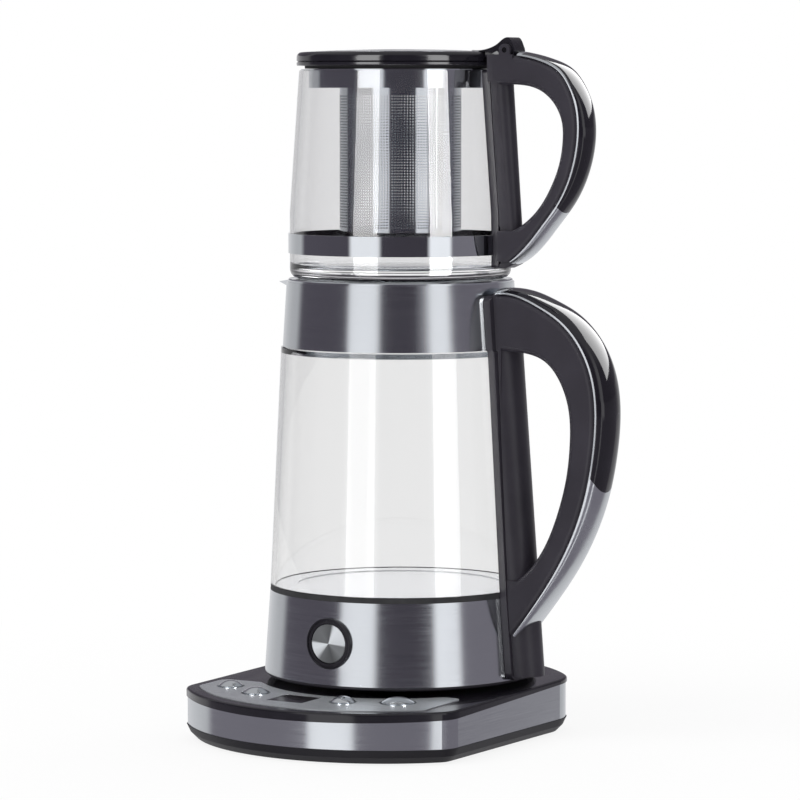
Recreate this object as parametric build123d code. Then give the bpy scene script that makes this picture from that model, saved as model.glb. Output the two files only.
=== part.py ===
"""Automatic tea maker: a glass teapot on a glass kettle on a powered base.

Frame: +Z up, origin on the kettle's axis at the level of the rubber feet.
The control panel and the kettle's button face -Y, both handles point to +X and
the kettle's spout to -X.  All sizes are in millimetres.
"""

import os
from math import degrees, hypot, sqrt

from build123d import *

# ----------------------------------------------------------------------------
# Driving dimensions
# ----------------------------------------------------------------------------

# clearances
seat_gap = 0.3          # between pieces of different bodies that rest on each other
snug_gap = 0.12         # between pieces of one body that fit together
running_gap = 0.05      # radial, pin in bore
guide_gap = 0.35        # radial, button in its guide
tip_gap = 1.0           # beyond a screw's tip

# base, seen from above
base_half_width = 85.0
base_front = 126.0          # front arc's foremost point is at -base_front
base_front_shoulder = 86.0  # where the front arc meets the straight sides
base_rear = 81.0
base_rear_shoulder = 39.0
base_front_corner = 15.0
base_least_corner = 2.0      # front corner of the innermost outlines
base_rear_corner = 26.0

# base, heights
tray_bottom = 0.6
tray_height = 7.7
tray_floor = 2.0
tray_wall = 1.5
tray_toe_in = 5.0           # how far the tray's foot stands inside the band
tray_knee_height = 3.5
tray_knee_inset = 1.5
tray_bulge = 0.5
band_wall = 1.2
band_front_height = 15.6    # steel band above the tray, at y = -base_front_shoulder
band_slope = 0.033
deck_rise = 4.5             # deck's surface above the band, at that y
deck_slope = 0.018
deck_overhang = 0.7
deck_plate = 2.5
deck_edge_round = 1.3
lip_wall = 2.0
lip_height = 5.0

# rubber feet and screws of the base
foot_radius = 6.0
foot_height = 2.6
foot_pad_wall = 1.5         # tray's boss around a foot
foot_pad_roof = 1.2
base_boss_radius = 4.5
base_boss_height = 8.2      # where the tray's boss meets the deck's, above the tray's bottom
base_screw_radius = 1.5
base_screw_head_radius = 3.0
base_screw_head_height = 1.8
base_screw_recess = 0.6
base_screw_length = 14.0
base_boss_x = 66.0
base_boss_front_y = -58.0
base_boss_rear_y = 34.0
foot_x = 56.0
foot_front_y = -74.0
foot_rear_y = 40.0

# control panel
panel_inset = 6.5
panel_inner_radius = 79.3
panel_left_end = -59.0      # y where the panel ends on each side
panel_right_end = -52.0
panel_left_reach = 80.0
panel_right_reach = 71.0
panel_end_round = 5.0
panel_thickness = 1.3
panel_proud = 0.4
panel_button_ring = 1.1     # dark ring around each button

# panel buttons: name, x, y, radius of the cap
panel_buttons = [
    ("button_far_left", -62.5, -76.0, 6.5),
    ("button_left", -38.0, -88.0, 7.0),
    ("button_right", 19.5, -90.5, 6.5),
    ("button_far_right", 46.5, -78.5, 9.0),
]
button_crown = 2.8          # height of the dome above the panel
button_edge = 0.4
button_flange = 1.3
button_flange_thickness = 1.0
button_stem_radius = 2.0
button_travel = 1.2

# display
display_width = 22.4
display_depth = 20.5
display_x = -9.0
display_y = -94.5
display_lens = 1.6
display_lens_sink = 0.2     # lens below the panel's surface
display_frame = 1.2         # ledge that carries the lens
display_corner = 1.0
display_module_height = 5.4
display_module_gap = 0.5

# circuit boards
board_thickness = 1.6
control_board_width = 126.0
control_board_depth = 34.0
control_board_corner = 9.0
control_board_y = -86.5
control_board_drop = 10.8   # below the deck's surface
control_post_x = 40.0
control_post_y = -74.5
power_board_width = 62.0
power_board_depth = 42.0
power_board_corner = 3.0
power_board_y = 45.0
power_board_rise = 5.2      # above the tray's floor
power_post_x = 26.0
power_post_reach = 16.0
post_radius = 3.0
board_screw_radius = 1.3
board_screw_length = 5.0
board_screw_head_radius = 2.4
board_screw_head_height = 1.5
tact_size = 6.0
tact_body_height = 2.0
tact_height = 3.4
tact_stem_radius = 1.7
relay_width = 18.0
relay_depth = 14.0
relay_height = 11.0
relay_x = -10.0
capacitor_radius = 5.0
capacitor_height = 11.5
capacitor_x = 13.0
capacitor_pitch = 14.0

# round power socket in the base
socket_stub_radius = 13.5
socket_flange_radius = 22.0
socket_flange_height = 3.0
socket_body_radius = 16.0
socket_leg_height = 9.4     # from the tray's floor to the socket's body
socket_leg_wall = 2.5
socket_leg_gap = 9.0        # half width of the gap between the legs
socket_edge = 1.0
socket_opening_gap = 1.5
socket_slot_inner = 8.0
socket_slot_outer = 10.6
socket_slot_depth = 11.0
socket_bore_radius = 3.3
contact_wall = 0.6
contact_sink = 1.5          # contacts below the stub's top

# cord gland in the rear of the band
gland_rise = 8.5            # its middle above the tray
gland_radius = 6.0
gland_flange_radius = 8.0
gland_flange = 1.6
gland_edge = 0.6
gland_bore = 3.6
gland_inside = 5.5
gland_lock = 2.0

# kettle connector
connector_radius = 19.0
connector_height = 18.2
connector_lift = 0.6        # its lower edge above the kettle's foot
connector_roof = 7.7
connector_slack = 0.8       # radial, around the socket's stub
connector_flange_radius = 22.0
connector_flange = 2.0
contact_pin_radius = 1.7
contact_ring_gap = 0.4
contact_reach = 9.5

# kettle body: every height starts at the piece below
foot_gap = 0.9              # kettle's foot above the deck, at the rear of the foot ring
foot_ring_height = 1.9
skirt_height = 45.1
skirt_bottom_radius = 75.3
skirt_taper = 3.1
skirt_wall = 0.8
gasket_height = 3.0
gasket_lip = 7.5
gasket_step = 0.2           # radial, glass inside the skirt's top
kettle_glass_height = 131.0
kettle_glass_taper = 6.1
kettle_glass_wall = 2.5
kettle_shoulder_drop = 3.0    # the inner wall turns inwards this far below the outer
kettle_neck_height = 12.0
collar_shadow = 0.6         # height of the groove between glass and collar
collar_step = 0.9
collar_height = 35.7
collar_taper = 2.2
collar_wall = 1.0

# kettle bottom
cover_plate = 2.3
cover_gap = 0.5
cover_rib = 2.0
foot_ring_inset = 0.8
foot_ring_wall = 3.5
foot_ring_edge = 0.7
cover_upstand = 5.0
heating_plate_sink = 0.2
heating_plate_thickness = 1.4
heating_plate_rim = 12.0
heating_plate_dish = 0.5
element_radius = 44.0
element_width = 8.0
element_height = 5.5
element_sweep = 300.0
thermostat_radius = 17.0
thermostat_clearance = 2.0
thermostat_neck = 4.0
thermostat_step = 8.0

# spout
spout_reach = 21.2          # beyond the collar's rim, before the dip shortens it
spout_half_width = 21.0
spout_depth = 12.0
spout_dip = 3.0             # how far the lip falls from the collar's rim to its tip
spout_dip_inset = 2.0
spout_nose = 4.0
spout_nose_half_width = 6.7
spout_root_inset = 6.0
spout_tip_half_width = 1.2
spout_wall = 1.0
spout_nose_wall = 1.6       # along the nose, where the walls meet at an angle

# ring that carries the teapot
seat_thickness = 1.5
seat_inset = 0.8            # inside the collar's rim
seat_width = 13.0
seat_skirt = 8.0
seat_skirt_wall = 1.0
seat_edge = 0.5

# kettle button
kettle_button_rise = 22.4   # its middle above the skirt's lower edge
bezel_radius = 14.0
bezel_opening = 12.8
bezel_proud = 1.5
bezel_depth = 4.0
bezel_sag = 1.6             # how far the skirt has curved back at the bezel's edge
bezel_round = 0.8
guide_tube_wall = 1.9
guide_tube_depth = 15.0
guide_tube_sink = 0.5
guide_window = (4.0, 3.0)   # half width and half height
kettle_cap_slack = 0.25
kettle_cap_thickness = 2.0
kettle_cap_sink = 0.6
kettle_cap_round = 0.5
kettle_plunger_wall = 2.0
kettle_plunger_depth = 6.0
kettle_plunger_nose = 2.4
kettle_button_travel = 2.5
switch_width = 20.0
switch_height = 10.0
switch_depth = 9.0

# kettle handle, set out from the steel it is screwed to
kettle_plate_top_half_width = 15.2
kettle_plate_bottom_half_width = 12.2
kettle_plate_thickness = 4.0
kettle_plate_drop = 6.0         # its top below the collar's rim
kettle_plate_lift = 0.3         # its bottom above the skirt's lower edge
kettle_plate_corner = 4.0
kettle_column_top_half_width = 14.0
kettle_column_bottom_half_width = 10.5
kettle_column_drop = 4.5
kettle_column_lift = 2.4
kettle_column_bottom_depth = 15.3   # beyond the skirt's foot
kettle_column_top_depth = 10.8      # beyond the collar's rim
kettle_grip_half_width = 12.0
kettle_grip_reach = 66.0        # beyond the collar's rim
kettle_grip_drop = 5.5          # grip's top below the collar's rim
kettle_grip_lift = 25.4         # grip's lower root above the skirt's lower edge
kettle_grip_depth = 16.2        # of the grip at its reach
kettle_grip_top_depth = 30.6
kettle_grip_bottom_depth = 29.5
kettle_root_depth = 3.2         # grip's root beyond the collar's rim
kettle_eye_depth = 8.2          # finger opening's root beyond the collar's rim
kettle_strip_depth = 6.8        # strip outside the grip: at its reach, top and bottom
kettle_strip_top_depth = 3.4
kettle_strip_bottom_depth = 2.7
kettle_inlay_start_depth = 9.7  # where the gloss inlay begins, beyond the collar's rim
kettle_inlay_tip_rise = 79.5    # inlay's rounded lower tip above the grip's lower root
kettle_inlay_tip_length = 13.0
kettle_lower_screw_rise = 17.9  # above the skirt's lower edge
kettle_upper_screw_rise = 5.5   # above the glass's neck

# teapot body
teapot_height = 113.9
teapot_belly_radius = 61.0
teapot_corner = 5.0
teapot_belly_height = 35.7
teapot_taper = 5.3
teapot_wall = 2.2
teapot_floor = 6.0
clamp_rise = 13.8           # clamp band above the teapot's bottom
clamp_height = 10.9
clamp_wall = 0.8

# teapot handle, set out from the glass
teapot_plate_top_half_width = 6.6
teapot_plate_bottom_half_width = 5.0
teapot_plate_thickness = 4.5
teapot_column_top_half_width = 6.2
teapot_column_bottom_half_width = 4.6
teapot_column_edge = 1.5
teapot_column_lift = 7.0        # column's bottom above the teapot's bottom
teapot_column_rise = 6.8        # column's top above the glass's rim
teapot_column_bottom_depth = 17.3   # beyond the belly
teapot_column_top_depth = 14.2      # beyond the rim
teapot_column_toe = 9.0         # flat length of the column's foot beyond the belly
teapot_grip_half_width = 8.4
teapot_grip_reach = 54.5        # beyond the belly
teapot_grip_rise = 8.4          # grip's top above the glass's rim
teapot_grip_lift = 10.7         # grip's lower root above the teapot's bottom
teapot_grip_depth = 9.9
teapot_grip_top_depth = 16.0
teapot_grip_bottom_depth = 16.5
teapot_root_depth = 5.0         # grip's root beyond the belly
teapot_strip_depth = 5.3
teapot_strip_top_depth = 2.6
teapot_strip_bottom_depth = 1.6
teapot_inlay_start_depth = 25.3 # beyond the rim
teapot_inlay_tip_rise = 26.6    # above the grip's lower root
teapot_inlay_tip_length = 6.0

# shared by both handles
strip_lip = 0.9             # thickness of the strip's bright edge below the inlay
grip_round = 3.2
handle_screw_radius = 2.0
handle_screw_head_radius = 3.6
handle_screw_head_height = 2.0
handle_screw_length = 9.0
screw_slot_half_width = 0.4
screw_slot_depth = 0.6

# infuser
infuser_collar_gap = 3.0    # collar inside the glass's mouth
infuser_collar_wall = 0.6
infuser_collar_height = 9.6
infuser_flange_inset = 0.9  # flange inside the glass's outer rim
infuser_flange = 0.7
infuser_radius = 33.5
infuser_wall = 0.5
infuser_depth = 89.0        # from the glass's rim to the infuser's bottom
infuser_base_height = 1.6
infuser_base_floor = 0.6
infuser_base_rim = 3.0
infuser_base_proud = 0.3

# teapot lid
lid_overhang = 1.4          # beyond the glass's rim
lid_lift = 2.5              # above the glass's rim
lid_thickness = 7.5
lid_wall = 3.0
lid_edge_round = 2.8
lid_foot_round = 0.5
lid_groove_rise = 2.2       # groove round the lid, above its lower edge
lid_groove_width = 0.9
lid_groove_depth = 0.7
lid_border = 4.1            # gloss border around the steel plate
lid_plate_edge = 1.0
lid_plate_proud = 0.1
lid_dome = 1.5
lid_web = 1.7
lid_seal_gap = 0.9          # seal inside the glass's mouth
lid_seal_width = 3.0

# lid hinge and thumb lever
hinge_depth = 14.8          # pin beyond the glass's rim
hinge_rise = 0.8            # pin above the lid
hinge_ear_radius = 3.4
hinge_pin_radius = 1.5
hinge_pin_inset = 0.5       # pin's ends below the ears' faces
lever_half_width = 5.8
lever_barrel_radius = 5.0
lever_rise = 7.6            # lever's ridge above the lid
lever_tongue_length = 21.5  # in front of the pin
lever_tongue_gap = 0.15
lever_tongue_edge = 0.4
lever_pocket_gap = 0.7
lever_side_gap = 0.5
lever_front_room = 1.4      # radial, between the lid and the handle

# ----------------------------------------------------------------------------
# Heights and radii that follow
# ----------------------------------------------------------------------------


def deck_height(y):
    """Height of the deck's surface at the given y."""
    return deck_front_top + deck_slope * (y + base_front_shoulder)


# base
tray_top = tray_bottom + tray_height
floor_top = tray_bottom + tray_floor
band_front_top = tray_top + band_front_height   # at y = -base_front_shoulder
deck_front_top = band_front_top + deck_rise
boss_split = tray_bottom + base_boss_height
lip_inside = band_wall + snug_gap + lip_wall
display_drop = display_lens - panel_thickness + display_lens_sink
control_board_z = deck_front_top - control_board_drop
power_board_z = floor_top + power_board_rise
socket_body_bottom = floor_top + socket_leg_height
gland_z = tray_top + gland_rise

# kettle
foot_bottom = deck_height(skirt_bottom_radius) + foot_gap
skirt_bottom = foot_bottom + foot_ring_height
skirt_top = skirt_bottom + skirt_height
gasket_top = skirt_top + gasket_height
kettle_glass_top = gasket_top + kettle_glass_height
collar_bottom = kettle_glass_top + collar_shadow
collar_top = collar_bottom + collar_height
skirt_top_radius = skirt_bottom_radius - skirt_taper
kettle_glass_bottom_radius = skirt_top_radius - gasket_step
kettle_glass_top_radius = kettle_glass_bottom_radius - kettle_glass_taper
collar_bottom_radius = kettle_glass_top_radius - collar_step
collar_top_radius = collar_bottom_radius - collar_taper
cover_top = skirt_bottom + cover_plate
heating_plate_top = gasket_top - heating_plate_sink
heating_plate_bottom = heating_plate_top - heating_plate_thickness
connector_bottom = foot_bottom + connector_lift
connector_top = connector_bottom + connector_height
socket_stub_top = connector_top - connector_roof - seat_gap
seat_top = collar_top + seat_thickness
seat_outer_radius = collar_top_radius - seat_inset
seat_inner_radius = seat_outer_radius - seat_width
kettle_button_z = skirt_bottom + kettle_button_rise
bezel_front = -skirt_bottom_radius + bezel_sag - bezel_proud
button_radius = bezel_opening - guide_tube_wall - kettle_cap_slack

# kettle handle
kettle_plate_top = collar_top - kettle_plate_drop
kettle_plate_bottom = skirt_bottom + kettle_plate_lift
kettle_column_top = collar_top - kettle_column_drop
kettle_column_bottom = skirt_bottom + kettle_column_lift
kettle_bow_reach = collar_top_radius + kettle_grip_reach
kettle_bow_top = collar_top - kettle_grip_drop
kettle_bow_bottom = skirt_bottom + kettle_grip_lift
kettle_root_x = collar_top_radius + kettle_root_depth
kettle_screw_heights = (
    skirt_bottom + kettle_lower_screw_rise,
    collar_bottom + kettle_neck_height + kettle_upper_screw_rise,
)

# teapot
teapot_bottom = seat_top + seat_gap
teapot_rim = teapot_bottom + teapot_height
teapot_belly_top = teapot_bottom + teapot_belly_height
teapot_rim_radius = teapot_belly_radius - teapot_taper
teapot_mouth_radius = teapot_rim_radius - teapot_wall
clamp_bottom = teapot_bottom + clamp_rise
clamp_top = clamp_bottom + clamp_height
teapot_screw_z = (clamp_bottom + clamp_top) / 2
teapot_screw_head_x = teapot_belly_radius + snug_gap
infuser_collar_radius = teapot_mouth_radius - infuser_collar_gap
infuser_collar_bottom = teapot_rim - infuser_collar_height
infuser_flange_reach = teapot_rim_radius - infuser_flange_inset
infuser_bottom = teapot_rim - infuser_depth

# lid
lid_radius = teapot_rim_radius + lid_overhang
lid_bottom = teapot_rim + lid_lift
lid_top = lid_bottom + lid_thickness
lid_plate_radius = lid_radius - lid_border
lid_plate_rim = lid_top + lid_plate_proud
lid_seal_radius = teapot_mouth_radius - lid_seal_gap
hinge_x = teapot_rim_radius + hinge_depth
hinge_z = lid_top + hinge_rise
lever_hump_top = lid_top + lever_rise
lever_pocket_radius = lever_hump_top - hinge_z + lever_pocket_gap

# teapot handle
teapot_column_bottom = teapot_bottom + teapot_column_lift
teapot_column_top = teapot_rim + teapot_column_rise
teapot_bow_reach = teapot_belly_radius + teapot_grip_reach
teapot_bow_top = teapot_rim + teapot_grip_rise
teapot_bow_bottom = teapot_bottom + teapot_grip_lift
teapot_eye_top = teapot_bow_top - teapot_grip_top_depth
teapot_root_x = teapot_belly_radius + teapot_root_depth


def kettle_radius(z):
    """Outer radius of the kettle's body at a height."""
    stations = [
        (skirt_bottom, skirt_bottom_radius),
        (skirt_top, skirt_top_radius),
        (kettle_glass_top, kettle_glass_top_radius),
        (collar_bottom, collar_bottom_radius),
        (collar_top, collar_top_radius),
    ]
    return station_value(stations, z)


def teapot_radius(z):
    """Outer radius of the teapot's glass above its rounded foot."""
    stations = [
        (teapot_bottom, teapot_belly_radius),
        (teapot_belly_top, teapot_belly_radius),
        (teapot_rim, teapot_rim_radius),
    ]
    return station_value(stations, z)


def station_value(stations, z):
    """Straight-line value between (height, value) stations."""
    for (z0, r0), (z1, r1) in zip(stations, stations[1:]):
        if z <= z1:
            return r0 + (r1 - r0) * (z - z0) / (z1 - z0)
    return stations[-1][1]


# ----------------------------------------------------------------------------
# Small helpers
# ----------------------------------------------------------------------------

far = 400.0     # half size of the blocks that trim to a plane


def ring(outer, inner, bottom, top):
    """Upright tube."""
    return tube_solid(outer, bottom, top) - tube_solid(inner, bottom - 1, top + 1)


def tube_solid(radius, bottom, top, x=0.0, y=0.0):
    """Upright solid cylinder from bottom to top."""
    return Pos(x, y, bottom) * extrude(Circle(radius), top - bottom)


def block(x0, x1, y0, y1, z0, z1):
    """Box between two corners."""
    sized = Box(x1 - x0, y1 - y0, z1 - z0)
    return Pos((x0 + x1) / 2, (y0 + y1) / 2, (z0 + z1) / 2) * sized


def lathe(points, sweep=360.0):
    """Solid of revolution about Z from (radius, height) points."""
    outline = Plane.XZ * make_face(Polyline(*points, close=True))
    return revolve(outline, Axis.Z, sweep)


def domed_disc(radius, bottom, edge, crown):
    """Disc whose top is a shallow ball surface: edge height and crown above it."""
    ball = (radius**2 + crown**2) / (2 * crown)
    dome = Pos(0, 0, edge + crown - ball) * Sphere(ball)
    cap = dome & tube_solid(radius, bottom, far)
    return cap + tube_solid(radius, bottom, edge)


def slope_block(z_ref, slope, y_ref=-base_front_shoulder):
    """Everything below a plane that rises towards +Y."""
    low = z_ref + slope * (-far - y_ref)
    high = z_ref + slope * (far - y_ref)
    side = Polyline((-far, -far), (far, -far), (far, high), (-far, low), close=True)
    return extrude(Plane.YZ * make_face(side), far, both=True)


def slope_slab(z_low, slope_low, z_high, slope_high):
    """Everything between two such planes."""
    return slope_block(z_high, slope_high) - slope_block(z_low, slope_low)


def base_face(inset):
    """Plan of the base, every edge moved in by inset."""
    front_radius = arc_radius(base_half_width, base_front - base_front_shoulder)
    rear_radius = arc_radius(base_half_width, base_rear - base_rear_shoulder)
    front_centre = front_radius - base_front
    rear_centre = base_rear - rear_radius
    half = base_half_width - inset
    front_y = front_centre - sqrt((front_radius - inset) ** 2 - half**2)
    rear_y = rear_centre + sqrt((rear_radius - inset) ** 2 - half**2)
    nose = (0, inset - base_front)
    tail = (0, base_rear - inset)
    outline = ThreePointArc((-half, front_y), nose, (half, front_y))
    outline += Line((half, front_y), (half, rear_y))
    outline += ThreePointArc((half, rear_y), tail, (-half, rear_y))
    outline += Line((-half, rear_y), (-half, front_y))
    face = make_face(outline)
    front = face.vertices().filter_by(lambda v: v.Y < 0)
    face = fillet(front, max(base_least_corner, base_front_corner - inset))
    rear = face.vertices().sort_by(Axis.Y)[-2:]
    return fillet(rear, base_rear_corner - inset)


def arc_radius(half_chord, rise):
    """Radius of an arc from its half chord and its rise."""
    return (half_chord**2 + rise**2) / (2 * rise)


def base_prism(inset, bottom, top):
    """Base plan drawn up into a solid."""
    return Pos(0, 0, bottom) * extrude(base_face(inset), top - bottom)


def save(shape, node):
    """Write one node."""
    export_step(shape, "parts/" + node + ".step")


def group(solids):
    """Separate solids of one node."""
    return Compound(children=list(solids))


# ----------------------------------------------------------------------------
# Base
# ----------------------------------------------------------------------------

boss_places = [(sx * base_boss_x, y) for sx in (-1, 1) for y in (base_boss_front_y, base_boss_rear_y)]
foot_places = [(0, 0)] + [(sx * foot_x, y) for sx in (-1, 1) for y in (foot_front_y, foot_rear_y)]
control_posts = [(sx * control_post_x, control_post_y) for sx in (-1, 1)]
power_posts = [
    (sx * power_post_x, power_board_y + sy * power_post_reach) for sx in (-1, 1) for sy in (-1, 1)
]


def base_tray():
    """Black bottom shell with its toe-in, lip, posts and screw holes."""
    sections = [
        Pos(0, 0, tray_bottom) * base_face(tray_toe_in),
        Pos(0, 0, tray_bottom + tray_knee_height) * base_face(tray_knee_inset),
        Pos(0, 0, tray_top) * base_face(-tray_bulge),
    ]
    shell = loft(sections, ruled=True)
    lip_outer = band_wall + snug_gap
    shell += base_prism(lip_outer, tray_top, tray_top + lip_height)
    shell -= base_prism(tray_toe_in + tray_wall, floor_top, tray_top)
    shell -= base_prism(lip_outer + lip_wall, tray_top, far)
    for x, y in boss_places:
        shell += tube_solid(base_boss_radius, tray_bottom, boss_split, x, y)
        shell -= tube_solid(base_screw_radius + snug_gap, 0, far, x, y)
        head_top = tray_bottom + base_screw_recess + base_screw_head_height
        shell -= tube_solid(base_screw_head_radius + seat_gap, 0, head_top, x, y)
    for x, y in foot_places:
        shell -= tube_solid(foot_radius + snug_gap, 0, foot_height, x, y)
        shell += tube_solid(foot_radius + foot_pad_wall, foot_height, foot_height + foot_pad_roof, x, y)
    for x, y in control_posts:
        shell += post(x, y, control_board_z)
    for x, y in power_posts:
        shell += post(x, y, power_board_z)
    shell -= gland_cut()
    return shell


def post(x, y, top):
    """Board post with a screw hole."""
    solid = tube_solid(post_radius, floor_top, top, x, y)
    depth = min(board_screw_length + tip_gap, top - floor_top)
    return solid - tube_solid(board_screw_radius + running_gap, top - depth, far, x, y)


def gland_cut():
    """Round way through the rear wall for the cord gland."""
    return Pos(0, 0, gland_z) * along_y(gland_radius + snug_gap, far)


def base_band():
    """Brushed steel band around the base; its top edge rises to the rear."""
    wall = base_prism(0, tray_top, far) - base_prism(band_wall, 0, far)
    wall &= slope_block(band_front_top, band_slope)
    return wall - gland_cut()


def base_deck():
    """Black top cover: plate, rounded rim, lip, bosses and cut-outs."""
    rim = base_prism(-deck_overhang, -tray_height, 0)
    rim = fillet(rim.faces().sort_by(Axis.Z)[-1].edges(), deck_edge_round)
    tilt = Pos(0, -base_front_shoulder, deck_front_top) * Rot(degrees(deck_slope), 0, 0)
    rim = tilt * Pos(0, base_front_shoulder, 0) * rim
    rim -= slope_block(band_front_top, band_slope)
    lip_outer = band_wall + snug_gap
    lip = base_prism(lip_outer, tray_top, far)
    lip &= slope_slab(band_front_top - lip_height, band_slope, deck_front_top - deck_plate, deck_slope)
    deck = rim + lip
    hollow = base_prism(lip_outer + lip_wall, 0, far)
    deck -= hollow & slope_block(deck_front_top - deck_plate, deck_slope)
    screw_tip = tray_bottom + base_screw_recess + base_screw_head_height + base_screw_length
    for x, y in boss_places:
        boss = tube_solid(base_boss_radius, boss_split, far, x, y)
        deck += boss & slope_block(deck_front_top - deck_plate / 2, deck_slope)
        deck -= tube_solid(base_screw_radius + running_gap, 0, screw_tip + tip_gap, x, y)
    deck -= tube_solid(socket_stub_radius + socket_opening_gap, 0, far)
    floor = deck_front_top + panel_proud - panel_thickness
    recess = extrude(panel_face(-snug_gap), far)
    deck -= recess - slope_block(floor, deck_slope)
    lens = display_block(snug_gap, 0)
    deck -= lens - slope_block(floor - display_drop, deck_slope)
    deck -= display_block(-display_frame, 0)
    for _, x, y, radius in panel_buttons:
        deck -= tube_solid(radius + guide_gap, 0, far, x, y)
    return deck


def panel_face(inset):
    """Plan of the control panel: a crescent between the kettle and the rim."""
    face = base_face(panel_inset + inset)
    face -= Circle(panel_inner_radius + inset)
    left = -panel_left_reach + inset
    right = panel_right_reach - inset
    front = Polyline(
        (left, -far),
        (left, panel_left_end - inset),
        (right, panel_right_end - inset),
        (right, -far),
        close=True,
    )
    face &= make_face(front)
    ends = face.vertices().sort_by(Axis.Y)[-4:]
    return fillet(ends, panel_end_round - inset)


def display_block(grow, bottom):
    """Upright block in the shape of the display, grown by the given amount."""
    corner = max(display_corner / 2, display_corner + grow)
    plan = RectangleRounded(display_width + 2 * grow, display_depth + 2 * grow, corner)
    return Pos(display_x, display_y, bottom) * extrude(plan, far)


def control_panel():
    """Brushed steel panel with holes for the buttons and the display."""
    plate = extrude(panel_face(0), far)
    bottom = deck_front_top + panel_proud - panel_thickness
    plate &= slope_slab(bottom, deck_slope, bottom + panel_thickness, deck_slope)
    plate -= display_block(snug_gap, 0)
    for _, x, y, radius in panel_buttons:
        plate -= tube_solid(radius + panel_button_ring, 0, far, x, y)
    return plate


def display_window():
    """Dark lens over the display, a hair below the panel's surface."""
    top = deck_front_top + panel_proud - display_lens_sink
    slab = slope_slab(top - display_lens, deck_slope, top, deck_slope)
    return display_block(0, 0) & slab


def display_module():
    """Segment display that stands on the control board."""
    bottom = control_board_z + board_thickness
    width = display_width - 2 * (display_frame + display_module_gap)
    depth = display_depth - 2 * (display_frame + display_module_gap)
    return Pos(display_x, display_y, bottom) * extrude(Rectangle(width, depth), display_module_height)


def control_board():
    """Board under the panel."""
    plan = RectangleRounded(control_board_width, control_board_depth, control_board_corner)
    board = Pos(0, control_board_y, control_board_z) * extrude(plan, board_thickness)
    for x, y in control_posts:
        board -= tube_solid(board_screw_radius + snug_gap, 0, far, x, y)
    return board


def power_board():
    """Board at the rear that switches the heater."""
    plan = RectangleRounded(power_board_width, power_board_depth, power_board_corner)
    board = Pos(0, power_board_y, power_board_z) * extrude(plan, board_thickness)
    for x, y in power_posts:
        board -= tube_solid(board_screw_radius + snug_gap, 0, far, x, y)
    return board


def power_components():
    """Relay and capacitors on the power board."""
    top = power_board_z + board_thickness
    relay = Pos(relay_x, power_board_y, top) * extrude(Rectangle(relay_width, relay_depth), relay_height)
    pieces = [relay]
    for side in (-1, 1):
        y = power_board_y + side * capacitor_pitch / 2
        pieces.append(tube_solid(capacitor_radius, top, top + capacitor_height, capacitor_x, y))
    return group(pieces)


def tact_switches():
    """One small switch under each panel button."""
    bottom = control_board_z + board_thickness
    pieces = []
    for _, x, y, _ in panel_buttons:
        body = Pos(x, y, bottom) * extrude(Rectangle(tact_size, tact_size), tact_body_height)
        pieces.append(body + tube_solid(tact_stem_radius, bottom, bottom + tact_height, x, y))
    return group(pieces)


def screw(x, y, head_bottom, head_radius, head_height, radius, length, up=True):
    """Slotted screw; the shank goes up from the head, or down from it."""
    head_top = head_bottom + head_height
    half = screw_slot_half_width
    head = tube_solid(head_radius, head_bottom, head_top, x, y)
    if up:
        slot_bottom = head_bottom - screw_slot_depth
        shank = tube_solid(radius, head_top, head_top + length, x, y)
    else:
        slot_bottom = head_top - screw_slot_depth
        shank = tube_solid(radius, head_bottom - length, head_bottom, x, y)
    slot_top = slot_bottom + 2 * screw_slot_depth
    slot = block(x - head_radius, x + head_radius, y - half, y + half, slot_bottom, slot_top)
    return head - slot + shank


def base_screws():
    """Four screws that hold the tray to the deck, from below."""
    bottom = tray_bottom + base_screw_recess
    sizes = (base_screw_head_radius, base_screw_head_height, base_screw_radius, base_screw_length)
    return group([screw(x, y, bottom, *sizes) for x, y in boss_places])


def board_screws():
    """Screws of both circuit boards, from above."""
    sizes = (board_screw_head_radius, board_screw_head_height, board_screw_radius, board_screw_length)
    control_top = control_board_z + board_thickness
    power_top = power_board_z + board_thickness
    pieces = [screw(x, y, control_top, *sizes, up=False) for x, y in control_posts]
    pieces += [screw(x, y, power_top, *sizes, up=False) for x, y in power_posts]
    return group(pieces)


def rubber_feet():
    """Feet pressed into the tray: one near each corner and one under the socket."""
    feet = []
    for x, y in foot_places:
        foot = tube_solid(foot_radius, 0, foot_height, x, y)
        feet.append(chamfer(foot.faces().sort_by(Axis.Z)[0].edges(), 0.5))
    return group(feet)


def base_socket():
    """Round power socket: stub with an annular slot and a central bore."""
    flange_top = deck_height(-socket_flange_radius) - deck_plate - snug_gap
    flange_bottom = flange_top - socket_flange_height
    body = lathe([
        (0, socket_body_bottom),
        (socket_body_radius, socket_body_bottom),
        (socket_body_radius, flange_bottom),
        (socket_flange_radius, flange_bottom),
        (socket_flange_radius, flange_top),
        (socket_stub_radius, flange_top),
        (socket_stub_radius, socket_stub_top - socket_edge),
        (socket_stub_radius - socket_edge, socket_stub_top),
        (0, socket_stub_top),
    ])
    slot_bottom = socket_stub_top - socket_slot_depth
    body -= ring(socket_slot_outer, socket_slot_inner, slot_bottom, far)
    body -= tube_solid(socket_bore_radius, slot_bottom, far)
    leg_inside = socket_body_radius - socket_leg_wall
    legs = ring(socket_body_radius, leg_inside, floor_top, socket_body_bottom)
    gap = block(-far, far, -socket_leg_gap, socket_leg_gap, 0, socket_body_bottom)
    return body + (legs - gap)


def socket_contacts():
    """Brass sleeve and brass ring inside the socket."""
    bottom = socket_stub_top - socket_slot_depth
    top = socket_stub_top - contact_sink
    outer = socket_bore_radius - snug_gap
    sleeve = ring(outer, outer - contact_wall, bottom, top)
    inner = socket_slot_inner + snug_gap
    return group([sleeve, ring(inner + contact_wall, inner, bottom, top)])


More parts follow.
